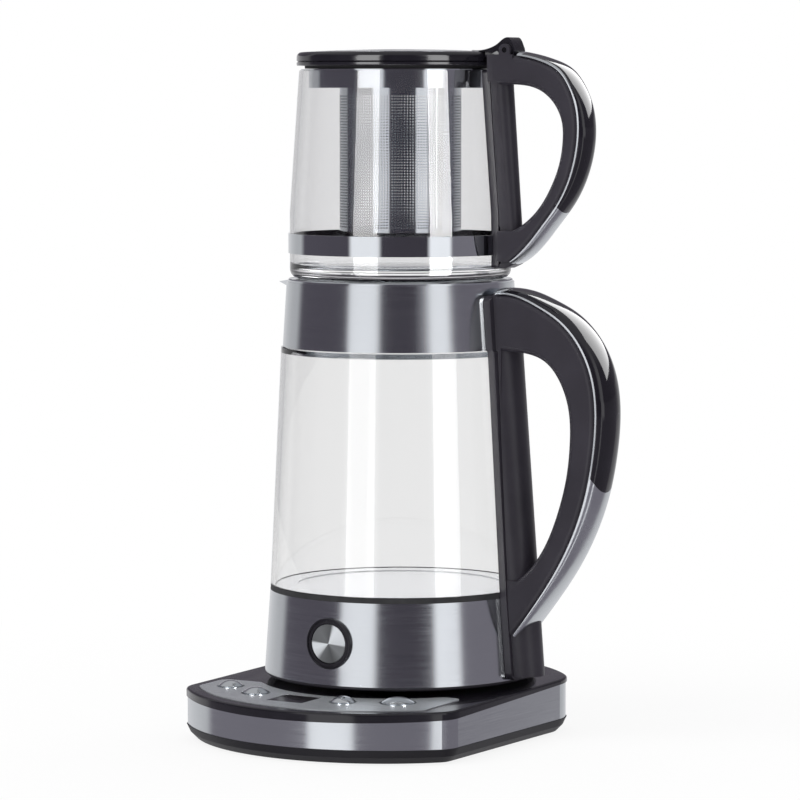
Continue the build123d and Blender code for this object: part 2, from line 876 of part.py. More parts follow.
def cord_gland():
    """Rubber gland in the rear wall, its bore free for the cord."""
    inner_y = base_rear - gland_inside
    sleeve = Pos(0, inner_y, gland_z) * along_y(gland_radius, gland_inside)
    flange = Pos(0, base_rear, gland_z) * along_y(gland_flange_radius, gland_flange)
    flange = chamfer(flange.edges().sort_by(Axis.Y)[-1], gland_edge)
    lock = Pos(0, inner_y, gland_z) * along_y(gland_flange_radius, gland_lock)
    lock &= base_prism(lip_inside + running_gap, 0, far)
    bore = Pos(0, 0, gland_z) * along_y(gland_bore, far)
    return sleeve + flange + lock - bore


def along_y(radius, length):
    """Cylinder from the origin along +Y."""
    return Pos(0, length / 2, 0) * Cylinder(radius, length, rotation=(90, 0, 0))


# ----------------------------------------------------------------------------
# Panel buttons
# ----------------------------------------------------------------------------


def panel_button(x, y, radius):
    """Domed cap with a retaining flange and a stem down to its switch."""
    deck_top = deck_height(y)
    panel_top = deck_top + panel_proud
    flange_top = deck_height(y - radius - button_flange) - deck_plate - seat_gap
    edge_z = panel_top + button_edge
    button = domed_disc(radius, flange_top, edge_z, button_crown)
    flange_bottom = flange_top - button_flange_thickness
    button += tube_solid(radius + button_flange, flange_bottom, flange_top)
    switch_top = control_board_z + board_thickness + tact_height
    stem_bottom = switch_top + button_travel + seat_gap
    if stem_bottom < flange_bottom:
        button += tube_solid(button_stem_radius, stem_bottom, flange_bottom)
    return Pos(x, y, 0) * button


# ----------------------------------------------------------------------------
# Kettle
# ----------------------------------------------------------------------------


def kettle_connector():
    """Cap that drops over the socket's stub; the kettle turns on it."""
    flange_bottom = cover_top + seat_gap
    recess_top = socket_stub_top + seat_gap
    return lathe([
        (0, recess_top),
        (socket_stub_radius + connector_slack, recess_top),
        (socket_stub_radius + connector_slack, connector_bottom),
        (connector_radius, connector_bottom),
        (connector_radius, flange_bottom),
        (connector_flange_radius, flange_bottom),
        (connector_flange_radius, flange_bottom + connector_flange),
        (connector_radius, flange_bottom + connector_flange),
        (connector_radius, connector_top - socket_edge),
        (connector_radius - socket_edge, connector_top),
        (0, connector_top),
    ])


def connector_contacts():
    """Brass pin and ring that reach into the socket."""
    top = socket_stub_top + seat_gap
    bottom = top - contact_reach
    pin = tube_solid(contact_pin_radius, bottom, top)
    pin = fillet(pin.faces().sort_by(Axis.Z)[0].edges(), 0.8 * contact_pin_radius)
    outer = socket_slot_outer - contact_ring_gap
    return group([pin, ring(outer, outer - contact_wall, bottom, top)])


def kettle_bottom_cover():
    """Black bottom cover with the foot ring below the steel skirt."""
    foot = skirt_bottom_radius - foot_ring_inset
    inside = skirt_bottom_radius - skirt_wall - cover_gap
    upstand_top = cover_top + cover_upstand
    upstand = kettle_radius(upstand_top) - skirt_wall - seat_gap
    return lathe([
        (connector_radius + seat_gap, skirt_bottom),
        (foot - foot_ring_wall, skirt_bottom),
        (foot - foot_ring_wall, foot_bottom),
        (foot - foot_ring_edge, foot_bottom),
        (foot, foot_bottom + foot_ring_edge),
        (foot, skirt_bottom),
        (inside, skirt_bottom),
        (upstand, upstand_top),
        (upstand - cover_rib, upstand_top),
        (upstand - cover_rib, cover_top),
        (connector_radius + seat_gap, cover_top),
    ])


def kettle_skirt():
    """Brushed steel skirt around the heater, with a hole for the button."""
    shell = lathe([
        (skirt_bottom_radius, skirt_bottom),
        (skirt_top_radius, skirt_top),
        (skirt_top_radius - skirt_wall, skirt_top),
        (skirt_bottom_radius - skirt_wall, skirt_bottom),
    ])
    hole = Pos(0, -far, kettle_button_z) * along_y(bezel_opening + seat_gap, far)
    return shell - hole - kettle_screw_ways()


def kettle_gasket():
    """Black seal between the skirt, the heating plate and the glass."""
    outer = kettle_glass_bottom_radius
    inner = outer - kettle_glass_wall - gasket_lip
    ledge = outer - kettle_glass_wall - seat_gap
    return lathe([
        (inner, skirt_top),
        (outer, skirt_top),
        (outer, gasket_top),
        (ledge, gasket_top),
        (ledge, heating_plate_bottom),
        (inner, heating_plate_bottom),
    ])


def heating_plate():
    """Polished steel floor of the kettle."""
    radius = kettle_glass_bottom_radius - kettle_glass_wall - seat_gap - snug_gap
    plate = tube_solid(radius, heating_plate_bottom, heating_plate_top)
    return plate - tube_solid(radius - heating_plate_rim, heating_plate_top - heating_plate_dish, far)


def heating_element():
    """Flat-topped element brazed under the plate."""
    inner = element_radius - element_width / 2
    outer = element_radius + element_width / 2
    bottom = heating_plate_bottom - element_height
    section = [(inner, bottom), (outer, bottom), (outer, heating_plate_bottom), (inner, heating_plate_bottom)]
    coil = lathe(section, element_sweep)
    return Rot(0, 0, 210) * coil


def thermostat():
    """Round control under the middle of the heating plate."""
    bottom = connector_top + thermostat_clearance
    can = tube_solid(thermostat_radius, bottom, heating_plate_bottom)
    neck = ring(far, thermostat_radius - thermostat_neck, 0, bottom + thermostat_step)
    return can - neck


def kettle_glass():
    """Tapered glass body with a neck that stands inside the collar."""
    top = collar_bottom + kettle_neck_height
    neck_low = collar_bottom_radius - collar_wall - seat_gap
    slope = (collar_bottom_radius - collar_top_radius) / (collar_top - collar_bottom)
    neck_high = neck_low - slope * kettle_neck_height
    wall = kettle_glass_wall
    return lathe([
        (kettle_glass_bottom_radius, gasket_top),
        (kettle_glass_top_radius, kettle_glass_top),
        (neck_low, collar_bottom),
        (neck_high, top),
        (neck_high - wall, top),
        (neck_low - wall, collar_bottom),
        (kettle_glass_top_radius - wall, kettle_glass_top - kettle_shoulder_drop),
        (kettle_glass_bottom_radius - wall, gasket_top),
    ])


def spout_cone(inset, nose_inset, top):
    """Beak that tapers from the collar's rim down to a point on its wall."""
    reach = collar_top_radius + spout_reach - nose_inset
    root = spout_root_inset - collar_top_radius
    half = spout_half_width - inset
    nose_half = spout_nose_half_width * half / spout_half_width
    outline = Polyline(
        (root, -half),
        (spout_nose - reach, -nose_half),
        (-reach, 0),
        (spout_nose - reach, nose_half),
        (root, half),
        close=True,
    )
    mouth = Pos(0, 0, top) * make_face(outline)
    point = Polyline(
        (root, -spout_tip_half_width),
        (root - spout_tip_half_width, 0),
        (root, spout_tip_half_width),
        close=True,
    )
    tip = Pos(0, 0, collar_top - spout_depth + inset) * make_face(point)
    return loft([tip, mouth], ruled=True)


def kettle_collar():
    """Brushed steel collar with the pouring spout."""
    shell_outer = lathe([
        (0, collar_bottom),
        (collar_bottom_radius, collar_bottom),
        (collar_top_radius, collar_top),
        (0, collar_top),
    ])
    shell_inner = lathe([
        (0, collar_bottom - 1),
        (collar_bottom_radius - collar_wall, collar_bottom - 1),
        (collar_bottom_radius - collar_wall, collar_bottom),
        (collar_top_radius - collar_wall, collar_top + 1),
        (0, collar_top + 1),
    ])
    beak = spout_cone(0, 0, collar_top)
    hollow = spout_cone(spout_wall, spout_nose_wall, collar_top + running_gap)
    collar = shell_outer + beak - hollow - shell_inner
    dip_start = spout_dip_inset - collar_top_radius
    dip_end = -collar_top_radius - spout_reach - spout_wall
    dip = Polyline(
        (dip_start, collar_top),
        (dip_end, collar_top - spout_dip),
        (dip_end, collar_top + spout_depth),
        (dip_start, collar_top + spout_depth),
        close=True,
    )
    return collar - upright_slab(Plane.XZ * make_face(dip), far) - kettle_screw_ways()


def teapot_seat():
    """Polished ring on the collar that the teapot stands on."""
    skirt = collar_top_radius - collar_wall - seat_gap
    seat = lathe([
        (seat_inner_radius, collar_top),
        (skirt - seat_skirt_wall, collar_top),
        (skirt - seat_skirt_wall, collar_top - seat_skirt),
        (skirt, collar_top - seat_skirt),
        (skirt, collar_top),
        (seat_outer_radius, collar_top),
        (seat_outer_radius, seat_top - seat_edge),
        (seat_outer_radius - seat_edge, seat_top),
        (seat_inner_radius, seat_top),
    ])
    half = spout_half_width - spout_wall
    return seat - block(-far, 0, -half, half, 0, collar_top - 0.01)


# ----------------------------------------------------------------------------
# Kettle button
# ----------------------------------------------------------------------------

def button_bezel():
    """Chrome ring around the kettle's button."""
    bezel = Pos(0, bezel_front, kettle_button_z) * along_y(bezel_radius, bezel_depth)
    bezel = fillet(bezel.edges().sort_by(Axis.Y)[0], bezel_round)
    bezel -= Pos(0, -far, kettle_button_z) * along_y(bezel_opening, far)
    return bezel - kettle_core(skirt_bottom, skirt_top, 0)


def kettle_core(bottom, top, gap):
    """Solid of the kettle's outer surface, grown by the gap."""
    corners = (skirt_top, kettle_glass_top, collar_bottom)
    heights = [bottom] + [z for z in corners if bottom < z < top] + [top]
    outline = [(kettle_radius(z) + gap, z) for z in heights]
    return lathe([(0, bottom)] + outline + [(0, top)])


def button_guide():
    """Black tube behind the bezel that guides the button."""
    front = bezel_front + guide_tube_sink
    back = front + guide_tube_depth
    tube = Pos(0, front, kettle_button_z) * along_y(bezel_opening - snug_gap, guide_tube_depth)
    bore_start = back - guide_tube_wall - far
    bore = Pos(0, bore_start, kettle_button_z) * along_y(bezel_opening - guide_tube_wall, far)
    half_width, half_height = guide_window
    low = kettle_button_z - half_height
    high = kettle_button_z + half_height
    return tube - bore - block(-half_width, half_width, front, back + guide_gap, low, high)


def kettle_button_cap():
    """Steel disc of the kettle's button."""
    front = bezel_front + kettle_cap_sink
    disc = Pos(0, front, kettle_button_z) * along_y(button_radius, kettle_cap_thickness)
    return fillet(disc.edges().sort_by(Axis.Y)[0], kettle_cap_round)


def kettle_button_plunger():
    """Black plunger behind the disc, with a nose that meets the switch."""
    front = bezel_front + kettle_cap_sink + kettle_cap_thickness
    floor = front + kettle_plunger_wall
    cup = Pos(0, front, kettle_button_z) * along_y(button_radius, kettle_plunger_depth)
    cup -= Pos(0, floor, kettle_button_z) * along_y(button_radius - kettle_plunger_wall, kettle_plunger_depth)
    switch_front = bezel_front + guide_tube_sink + guide_tube_depth
    nose_length = switch_front - kettle_button_travel - seat_gap - front
    return cup + Pos(0, front, kettle_button_z) * along_y(kettle_plunger_nose, nose_length)


def kettle_switch():
    """Microswitch on the back of the guide."""
    front = bezel_front + guide_tube_sink + guide_tube_depth
    return block(
        -switch_width / 2,
        switch_width / 2,
        front,
        front + switch_depth,
        kettle_button_z - switch_height / 2,
        kettle_button_z + switch_height / 2,
    )


# ----------------------------------------------------------------------------
# Handles
# ----------------------------------------------------------------------------

# side views of both handles, as shares of their own reach and height:
# the grip's back (bow), the strip's crown and the finger opening (eye)
kettle_bow_shape = [
    (0.000, 1.000),
    (0.270, 0.992),
    (0.438, 0.968),
    (0.635, 0.930),
    (0.822, 0.866),
    (0.953, 0.775),
    (1.000, 0.655),
    (0.977, 0.545),
    (0.906, 0.420),
    (0.799, 0.315),
    (0.644, 0.210),
    (0.447, 0.108),
    (0.204, 0.000),
]
teapot_bow_shape = [
    (0.000, 1.000),
    (0.420, 0.982),
    (0.578, 0.962),
    (0.760, 0.921),
    (0.883, 0.853),
    (0.980, 0.740),
    (1.000, 0.662),
    (0.970, 0.519),
    (0.887, 0.394),
    (0.790, 0.307),
    (0.582, 0.185),
    (0.337, 0.063),
    (0.164, 0.000),
]
teapot_crown_shape = [
    (0.000, 1.000),
    (0.389, 0.978),
    (0.547, 0.954),
    (0.719, 0.914),
    (0.850, 0.851),
    (0.967, 0.739),
    (1.000, 0.652),
    (0.971, 0.502),
    (0.881, 0.375),
    (0.781, 0.289),
    (0.571, 0.171),
    (0.332, 0.060),
    (0.162, 0.000),
]
eye_shape = [
    (0.000, 1.000),
    (0.300, 0.996),
    (0.620, 0.962),
    (0.860, 0.868),
    (0.985, 0.735),
    (0.995, 0.620),
    (0.950, 0.475),
    (0.810, 0.300),
    (0.620, 0.155),
    (0.400, 0.055),
    (0.200, 0.000),
]


def bow_curve(shape, root_x, reach, top, bottom):
    """Spline through a shape table, set out between a root, a reach and two heights."""
    points = [(root_x + u * (reach - root_x), bottom + v * (top - bottom)) for u, v in shape]
    return Spline(*points), points


def bow_area(shape, root_x, reach, top, bottom):
    """Area between such a curve and the root line."""
    curve, points = bow_curve(shape, root_x, reach, top, bottom)
    first = points[0]
    last = points[-1]
    back = Polyline(last, (root_x, last[1]), first)
    return Plane.XZ * make_face(curve + back)


def upright_slab(area, half_width):
    """Area in the XZ plane drawn out to both sides."""
    return extrude(area, half_width, both=True)


def column_loft(foot, head):
    """Upright column with a rounded outer face, from two (height, x, half width)."""
    sections = []
    for z, x, half_width in (foot, head):
        centre = x - half_width
        section = Pos(centre, 0) * Circle(half_width)
        section += Pos(centre - half_width, 0) * Rectangle(2 * half_width, 2 * half_width)
        sections.append(Pos(0, 0, z) * section)
    return loft(sections, ruled=True)


def kettle_column():
    """Column of the kettle's handle, before it is fitted to the body."""
    low_x = skirt_bottom_radius + kettle_column_bottom_depth
    high_x = collar_top_radius + kettle_column_top_depth
    return column_loft(
        (kettle_column_bottom, low_x, kettle_column_bottom_half_width),
        (kettle_column_top, high_x, kettle_column_top_half_width),
    )


def teapot_column():
    """Column of the teapot's handle, cut off below along the line of the strip."""
    low_x = teapot_belly_radius + teapot_column_bottom_depth
    high_x = teapot_rim_radius + teapot_column_top_depth
    column = column_loft(
        (teapot_column_bottom, low_x, teapot_column_bottom_half_width),
        (teapot_column_top, high_x, teapot_column_top_half_width),
    )
    style = teapot_style
    _, points = bow_curve(style["crown_shape"], style["root_x"], *style["crown"])
    end_x, end_z = points[-1]
    toe_x = teapot_belly_radius + teapot_column_toe
    foot = Polyline(
        (0, teapot_column_bottom),
        (toe_x, teapot_column_bottom),
        (end_x, end_z),
        (end_x, teapot_rim),
        (0, teapot_rim),
        close=True,
    )
    inside = bow_area(style["crown_shape"], style["root_x"], *style["crown"])
    above = block(0, far, -far, far, teapot_eye_top, far)
    allowed = upright_slab(inside, far) + upright_slab(Plane.XZ * make_face(foot), far) + above
    return largest(column & allowed)


def handle_grip(area, hole, half_width, depth):
    """Grip from its side view, all its outer edges rounded."""
    slab = upright_slab(area - hole, half_width)
    sides = slab.faces().filter_by(Axis.Y)
    edges = [e for face in sides for e in face.edges() if e.geom_type == GeomType.BSPLINE]
    return fillet(edges, min(grip_round, 0.35 * depth, 0.8 * half_width))


def tapered_plate(bottom, bottom_half, top, top_half, corner):
    """Upright slice along +X whose width changes from its bottom to its top."""
    outline = Polyline(
        (-bottom_half, bottom),
        (bottom_half, bottom),
        (top_half, top),
        (-top_half, top),
        close=True,
    )
    face = make_face(outline)
    face = fillet(face.vertices(), corner)
    return extrude(Plane.YZ * face, far)


def kettle_handle_plate():
    """Black plate that hugs the glass behind the kettle's handle."""
    shell = kettle_core(kettle_plate_bottom, kettle_plate_top, snug_gap + kettle_plate_thickness)
    shell -= kettle_core(skirt_bottom, collar_top, snug_gap)
    outline = tapered_plate(
        kettle_plate_bottom,
        kettle_plate_bottom_half_width,
        kettle_plate_top,
        kettle_plate_top_half_width,
        kettle_plate_corner,
    )
    return (shell & outline) - kettle_screw_ways()


def kettle_handle_core():
    """Body and plate, with room for the handle's column to fit against them."""
    return kettle_core(skirt_bottom, collar_top, kettle_plate_thickness + 2 * snug_gap)


def kettle_handle():
    """Black moulding: the column along the body and the grip."""
    bow = bow_area(kettle_bow_shape, kettle_root_x, *kettle_style["bow"])
    eye = bow_area(
        eye_shape,
        collar_top_radius + kettle_eye_depth,
        kettle_bow_reach - kettle_grip_depth,
        kettle_bow_top - kettle_grip_top_depth,
        kettle_bow_bottom + kettle_grip_bottom_depth,
    )
    grip = handle_grip(bow, eye, kettle_grip_half_width, kettle_grip_depth)
    handle = grip + kettle_column() - kettle_handle_core()
    return largest(handle - crowned_back(kettle_style) - kettle_screw_ways())


def crowned_rod(style):
    """Oval rod along the grip's back; its outer half is the strip's crown."""
    root_x = style["root_x"]
    half_width = style["half_width"]
    path, base_points = bow_curve(style["bow_shape"], root_x, *style["bow"])
    _, crown_points = bow_curve(style["crown_shape"], root_x, *style["crown"])
    sections = []
    for (base_x, base_z), (crown_x, crown_z) in list(zip(base_points, crown_points))[::2]:
        depth = hypot(crown_x - base_x, crown_z - base_z)
        out_x = (crown_x - base_x) / depth
        out_z = (crown_z - base_z) / depth
        plane = Plane(origin=(base_x, 0, base_z), x_dir=(0, 1, 0), z_dir=(out_z, 0, -out_x))
        sections.append(plane * Ellipse(half_width, depth))
    return sweep(sections=sections, path=Plane.XZ * path, multisection=True)


def crowned_back(style):
    """Outer half of the rod: strip and inlay together."""
    return crowned_rod(style) - lip_slab(style, 0)


def inlay_limits(style, grow):
    """Block that keeps the inlay's part of the strip: blunt start, rounded tip."""
    start = style["inlay_start"] - grow
    tip = style["inlay_tip"] - grow
    length = style["inlay_tip_length"]
    centre = tip + length
    rounded = Plane.YZ * Ellipse(style["half_width"] + strip_lip, length)
    return block(start, far, -far, far, centre, far) + Pos(start, 0, centre) * extrude(rounded, far)


def handle_strip(style):
    """Strip with the pocket for its inlay."""
    pocket = inlay_limits(style, running_gap) - lip_slab(style, strip_lip)
    return crowned_back(style) - pocket


def handle_inlay(style):
    """Gloss inlay that fills the strip's pocket."""
    inlay = crowned_rod(style) - lip_slab(style, strip_lip + running_gap)
    return inlay & inlay_limits(style, 0)


def lip_slab(style, lip):
    """Everything inside the grip's back, grown outward by the lip."""
    reach, top, bottom = style["bow"]
    inside = bow_area(style["bow_shape"], style["root_x"], reach + lip, top + lip, bottom - lip)
    return upright_slab(inside, 2 * style["half_width"])


kettle_style = {
    "root_x": kettle_root_x,
    "half_width": kettle_grip_half_width,
    "bow_shape": kettle_bow_shape,
    "bow": (kettle_bow_reach, kettle_bow_top, kettle_bow_bottom),
    "crown_shape": kettle_bow_shape,
    "crown": (
        kettle_bow_reach + kettle_strip_depth,
        kettle_bow_top + kettle_strip_top_depth,
        kettle_bow_bottom - kettle_strip_bottom_depth,
    ),
    "inlay_start": collar_top_radius + kettle_inlay_start_depth,
    "inlay_tip": kettle_bow_bottom + kettle_inlay_tip_rise,
    "inlay_tip_length": kettle_inlay_tip_length,
}
teapot_style = {
    "root_x": teapot_root_x,
    "half_width": teapot_grip_half_width,
    "bow_shape": teapot_bow_shape,
    "bow": (teapot_bow_reach, teapot_bow_top, teapot_bow_bottom),
    "crown_shape": teapot_crown_shape,
    "crown": (
        teapot_bow_reach + teapot_strip_depth,
        teapot_bow_top + teapot_strip_top_depth,
        teapot_bow_bottom - teapot_strip_bottom_depth,
    ),
    "inlay_start": teapot_rim_radius + teapot_inlay_start_depth,
    "inlay_tip": teapot_bow_bottom + teapot_inlay_tip_rise,
    "inlay_tip_length": teapot_inlay_tip_length,
}


def kettle_handle_strip():
    """Chrome strip on the back of the kettle's grip."""
    return largest(handle_strip(kettle_style) - kettle_handle_core())


def largest(shape):
    """Keep the largest solid."""
    return shape.solids().sort_by(SortBy.VOLUME)[-1]


def kettle_handle_inlay():
    """Gloss black inlay in the upper part of the strip."""
    return handle_inlay(kettle_style)


def radial_screw(z, head_x):
    """Screw along X whose head lies inside the vessel's wall."""
    length = handle_screw_head_height + handle_screw_length
    head = along_x(handle_screw_head_radius, handle_screw_head_height)
    return Pos(head_x, 0, z) * (head + along_x(handle_screw_radius, length))


def along_x(radius, length):
    """Cylinder from the origin along +X."""
    return Pos(length / 2, 0, 0) * Cylinder(radius, length, rotation=(0, 90, 0))


def kettle_screw_head_x(z):
    """Where a handle screw's head starts: just inside the steel."""
    return kettle_radius(z) - collar_wall - guide_gap - handle_screw_head_height


def kettle_screw_ways():
    """Holes for the handle's screws."""
    return [radial_way(kettle_screw_head_x(z), z) for z in kettle_screw_heights]


def radial_way(head_x, z):
    """Clearance hole for the shank of a handle screw."""
    length = handle_screw_head_height + handle_screw_length + tip_gap
    return Pos(head_x, 0, z) * along_x(handle_screw_radius + snug_gap, length)


def kettle_handle_screws():
    """Screws that hold the handle through the skirt and the collar."""
    return group([radial_screw(z, kettle_screw_head_x(z)) for z in kettle_screw_heights])


# ----------------------------------------------------------------------------
# Teapot
# ----------------------------------------------------------------------------


def teapot_glass():
    """Glass jug with a thick floor."""
    inner_corner = teapot_corner - teapot_wall
    jug = lathe([
        (0, teapot_bottom),
        (teapot_belly_radius, teapot_bottom),
        (teapot_belly_radius, teapot_belly_top),
        (teapot_rim_radius, teapot_rim),
        (0, teapot_rim),
    ])
    jug = fillet(jug.edges().sort_by(Axis.Z)[0], teapot_corner)
    inside = lathe([
        (0, teapot_bottom + teapot_floor),
        (teapot_belly_radius - teapot_wall, teapot_bottom + teapot_floor),
        (teapot_belly_radius - teapot_wall, teapot_belly_top),
        (teapot_mouth_radius, teapot_rim),
        (teapot_mouth_radius, teapot_rim + teapot_wall),
        (0, teapot_rim + teapot_wall),
    ])
    inside = fillet(inside.edges().sort_by(Axis.Z)[0], inner_corner)
    return jug - inside


def teapot_clamp_band():
    """Steel band that clamps the handle to the glass."""
    inner = teapot_belly_radius + running_gap
    return ring(inner + clamp_wall, inner, clamp_bottom, clamp_top) - teapot_screw_way()


def teapot_core(gap, bottom, top):
    """Solid of the glass's outer surface, grown by the gap."""
    return lathe([
        (0, bottom),
        (teapot_belly_radius + gap, bottom),
        (teapot_belly_radius + gap, teapot_belly_top),
        (teapot_rim_radius + gap, teapot_rim),
        (teapot_rim_radius + gap, top),
        (0, top),
    ])


def clamped_core(gap):
    """Glass and clamp band together, grown by the gap."""
    band = teapot_belly_radius + running_gap + clamp_wall + gap
    glass = teapot_core(gap, teapot_bottom, lid_top)
    return glass + tube_solid(band, clamp_bottom - gap, clamp_top + gap)


def teapot_handle_plate():
    """Black plate that hugs the teapot's glass."""
    outer = teapot_core(snug_gap + teapot_plate_thickness, teapot_column_bottom, lid_top)
    outline = tapered_plate(
        teapot_column_bottom,
        teapot_plate_bottom_half_width,
        teapot_rim,
        teapot_plate_top_half_width,
        teapot_column_edge,
    )
    return (outer & outline) - clamped_core(snug_gap) - teapot_screw_way()


def teapot_handle():
    """Black moulding of the teapot: column, grip and the ears of the hinge."""
    bow = bow_area(teapot_bow_shape, teapot_root_x, *teapot_style["bow"])
    eye = bow_area(
        eye_shape,
        teapot_root_x,
        teapot_bow_reach - teapot_grip_depth,
        teapot_eye_top,
        teapot_bow_bottom + teapot_grip_bottom_depth,
    )
    grip = handle_grip(bow, eye, teapot_grip_half_width, teapot_grip_depth)
    handle = largest(grip + teapot_column() - crowned_back(teapot_style))
    handle += hinge_head()
    handle -= clamped_core(teapot_plate_thickness + 2 * snug_gap)
    handle -= tube_solid(lid_radius + lever_front_room, teapot_rim, far)
    handle -= lever_pocket()
    handle -= Pos(hinge_x, -far / 2, hinge_z) * along_y(hinge_pin_radius, far)
    return largest(handle - teapot_screw_way())


def teapot_screw_way():
    """Clearance hole for the screw between clamp band and handle."""
    length = handle_screw_head_height + handle_screw_length + tip_gap
    start = teapot_screw_head_x - handle_screw_head_height
    way = along_x(handle_screw_radius + snug_gap, length + handle_screw_head_height)
    return Pos(start, 0, teapot_screw_z) * way


def hinge_head():
    """Block at the top of the column that holds the pin."""
    half = teapot_grip_half_width
    ear = hinge_ear_radius
    back = hinge_x + lever_barrel_radius
    head = block(teapot_rim_radius, back, -half, half, teapot_eye_top + lever_front_room, teapot_bow_top)
    head += block(hinge_x - ear, hinge_x + ear, -half, half, teapot_bow_top - ear, hinge_z)
    return head + Pos(hinge_x, -half, hinge_z) * along_y(ear, 2 * half)


def lever_pocket():
    """Room for the lid's lever between the two ears."""
    half = lever_half_width + lever_side_gap
    round_part = Pos(hinge_x, -half, hinge_z) * along_y(lever_pocket_radius, 2 * half)
    floor = hinge_z - lever_barrel_radius - lever_pocket_gap
    front = block(teapot_rim_radius, hinge_x, -half, half, floor, far)
    above = block(hinge_x, hinge_x + lever_pocket_radius, -half, half, hinge_z, far)
    return round_part + front + above


def teapot_handle_strip():
    """Chrome strip on the back of the teapot's grip; it starts behind the lever."""
    start = hinge_x + lever_pocket_radius + seat_gap
    strip = handle_strip(teapot_style) - block(-far, start, -far, far, teapot_eye_top, far)
    return largest(strip)


def teapot_handle_inlay():
    """Gloss black inlay of the teapot's strip."""
    return handle_inlay(teapot_style)


def clamp_screw():
    """Stud from the clamp band into the teapot's handle."""
    length = handle_screw_head_height + handle_screw_length
    return Pos(teapot_screw_head_x, 0, teapot_screw_z) * along_x(handle_screw_radius, length)


def infuser_collar():
    """Polished rim of the infuser; its flange hangs on the glass."""
    r = infuser_collar_radius
    w = infuser_collar_wall
    flange_top = teapot_rim + infuser_flange
    return lathe([
        (infuser_radius, infuser_collar_bottom),
        (r, infuser_collar_bottom),
        (r, teapot_rim),
        (infuser_flange_reach, teapot_rim),
        (infuser_flange_reach, flange_top),
        (r - w, flange_top),
        (r - w, infuser_collar_bottom + w),
        (infuser_radius, infuser_collar_bottom + w),
    ])


def infuser_basket():
    """Perforated cylinder that holds the leaves."""
    bottom = infuser_bottom + infuser_base_height
    return ring(infuser_radius, infuser_radius - infuser_wall, bottom, infuser_collar_bottom)


def infuser_base():
    """Bottom cap of the infuser."""
    top = infuser_bottom + infuser_base_height
    cap = tube_solid(infuser_radius + infuser_base_proud, infuser_bottom, top)
    return cap - tube_solid(infuser_radius - infuser_base_rim, infuser_bottom + infuser_base_floor, far)


def lid_hinge_pin():
    """Steel pin through the ears and the lever's barrel."""
    half = teapot_grip_half_width - hinge_pin_inset
    return Pos(hinge_x, -half, hinge_z) * along_y(hinge_pin_radius, 2 * half)


# ----------------------------------------------------------------------------
# Teapot lid
# ----------------------------------------------------------------------------


def lid_rim():
    """Gloss black lid body."""
    recess = lid_top - lid_plate_edge
    web_bottom = recess - lid_web
    groove = lid_bottom + lid_groove_rise
    body = lathe([
        (0, web_bottom),
        (lid_radius - lid_wall, web_bottom),
        (lid_radius - lid_wall, lid_bottom),
        (lid_radius, lid_bottom),
        (lid_radius, groove - lid_groove_width / 2),
        (lid_radius - lid_groove_depth, groove),
        (lid_radius, groove + lid_groove_width / 2),
        (lid_radius, lid_top),
        (lid_plate_radius + snug_gap, lid_top),
        (lid_plate_radius + snug_gap, recess),
        (0, recess),
    ])
    outer = body.edges().filter_by(lambda edge: outer_rim(edge)).sort_by(Axis.Z)
    body = fillet(outer[-1], lid_edge_round)
    outer = body.edges().filter_by(lambda edge: outer_rim(edge)).sort_by(Axis.Z)
    return fillet(outer[0], lid_foot_round)


def outer_rim(edge):
    """Whether an edge is a circle on the lid's outermost wall."""
    return edge.geom_type == GeomType.CIRCLE and edge.radius > lid_radius - lid_groove_depth / 2


def lid_plate():
    """Steel plate in the lid's top, slightly domed."""
    return domed_disc(lid_plate_radius, lid_top - lid_plate_edge, lid_plate_rim, lid_dome)


def lid_seal():
    """Silicone ring under the lid."""
    top = lid_top - lid_plate_edge - lid_web
    bottom = teapot_rim + infuser_flange + seat_gap
    return ring(lid_seal_radius, lid_seal_radius - lid_seal_width, bottom, top)


def lid_lever():
    """Thumb lever: tongue on the lid, ridge above the pin, and barrel on the pin."""
    start_x = hinge_x - lever_tongue_length
    sag = lid_dome * (1 - (start_x / lid_plate_radius) ** 2)
    low = lid_plate_rim + sag + lever_tongue_gap
    ridge = lever_hump_top
    back = (hinge_x + lever_barrel_radius, hinge_z)
    top = Spline(
        (start_x, low + lever_tongue_edge),
        (hinge_x - 0.6 * lever_tongue_length, low + 0.12 * (ridge - low)),
        (hinge_x - 0.25 * lever_tongue_length, low + 0.55 * (ridge - low)),
        (hinge_x - 0.05 * lever_tongue_length, low + 0.96 * (ridge - low)),
        (hinge_x + 0.2 * lever_barrel_radius, ridge),
        (hinge_x + 0.7 * lever_barrel_radius, low + 0.6 * (ridge - low)),
        back,
    )
    front = (hinge_x - lever_barrel_radius, hinge_z)
    wall_x = lid_radius + snug_gap
    plate_x = lid_plate_radius + snug_gap
    outline = top + ThreePointArc(back, (hinge_x, hinge_z - lever_barrel_radius), front)
    outline += Polyline(
        front,
        (wall_x, lid_top - lid_wall),
        (wall_x, lid_top),
        (plate_x, lid_top),
        (plate_x, low),
        (start_x, low),
        (start_x, low + lever_tongue_edge),
    )
    lever = upright_slab(Plane.XZ * make_face(outline), lever_half_width)
    return lever - Pos(hinge_x, -far / 2, hinge_z) * along_y(hinge_pin_radius + running_gap, far)


# ----------------------------------------------------------------------------
# Write every node
# ----------------------------------------------------------------------------

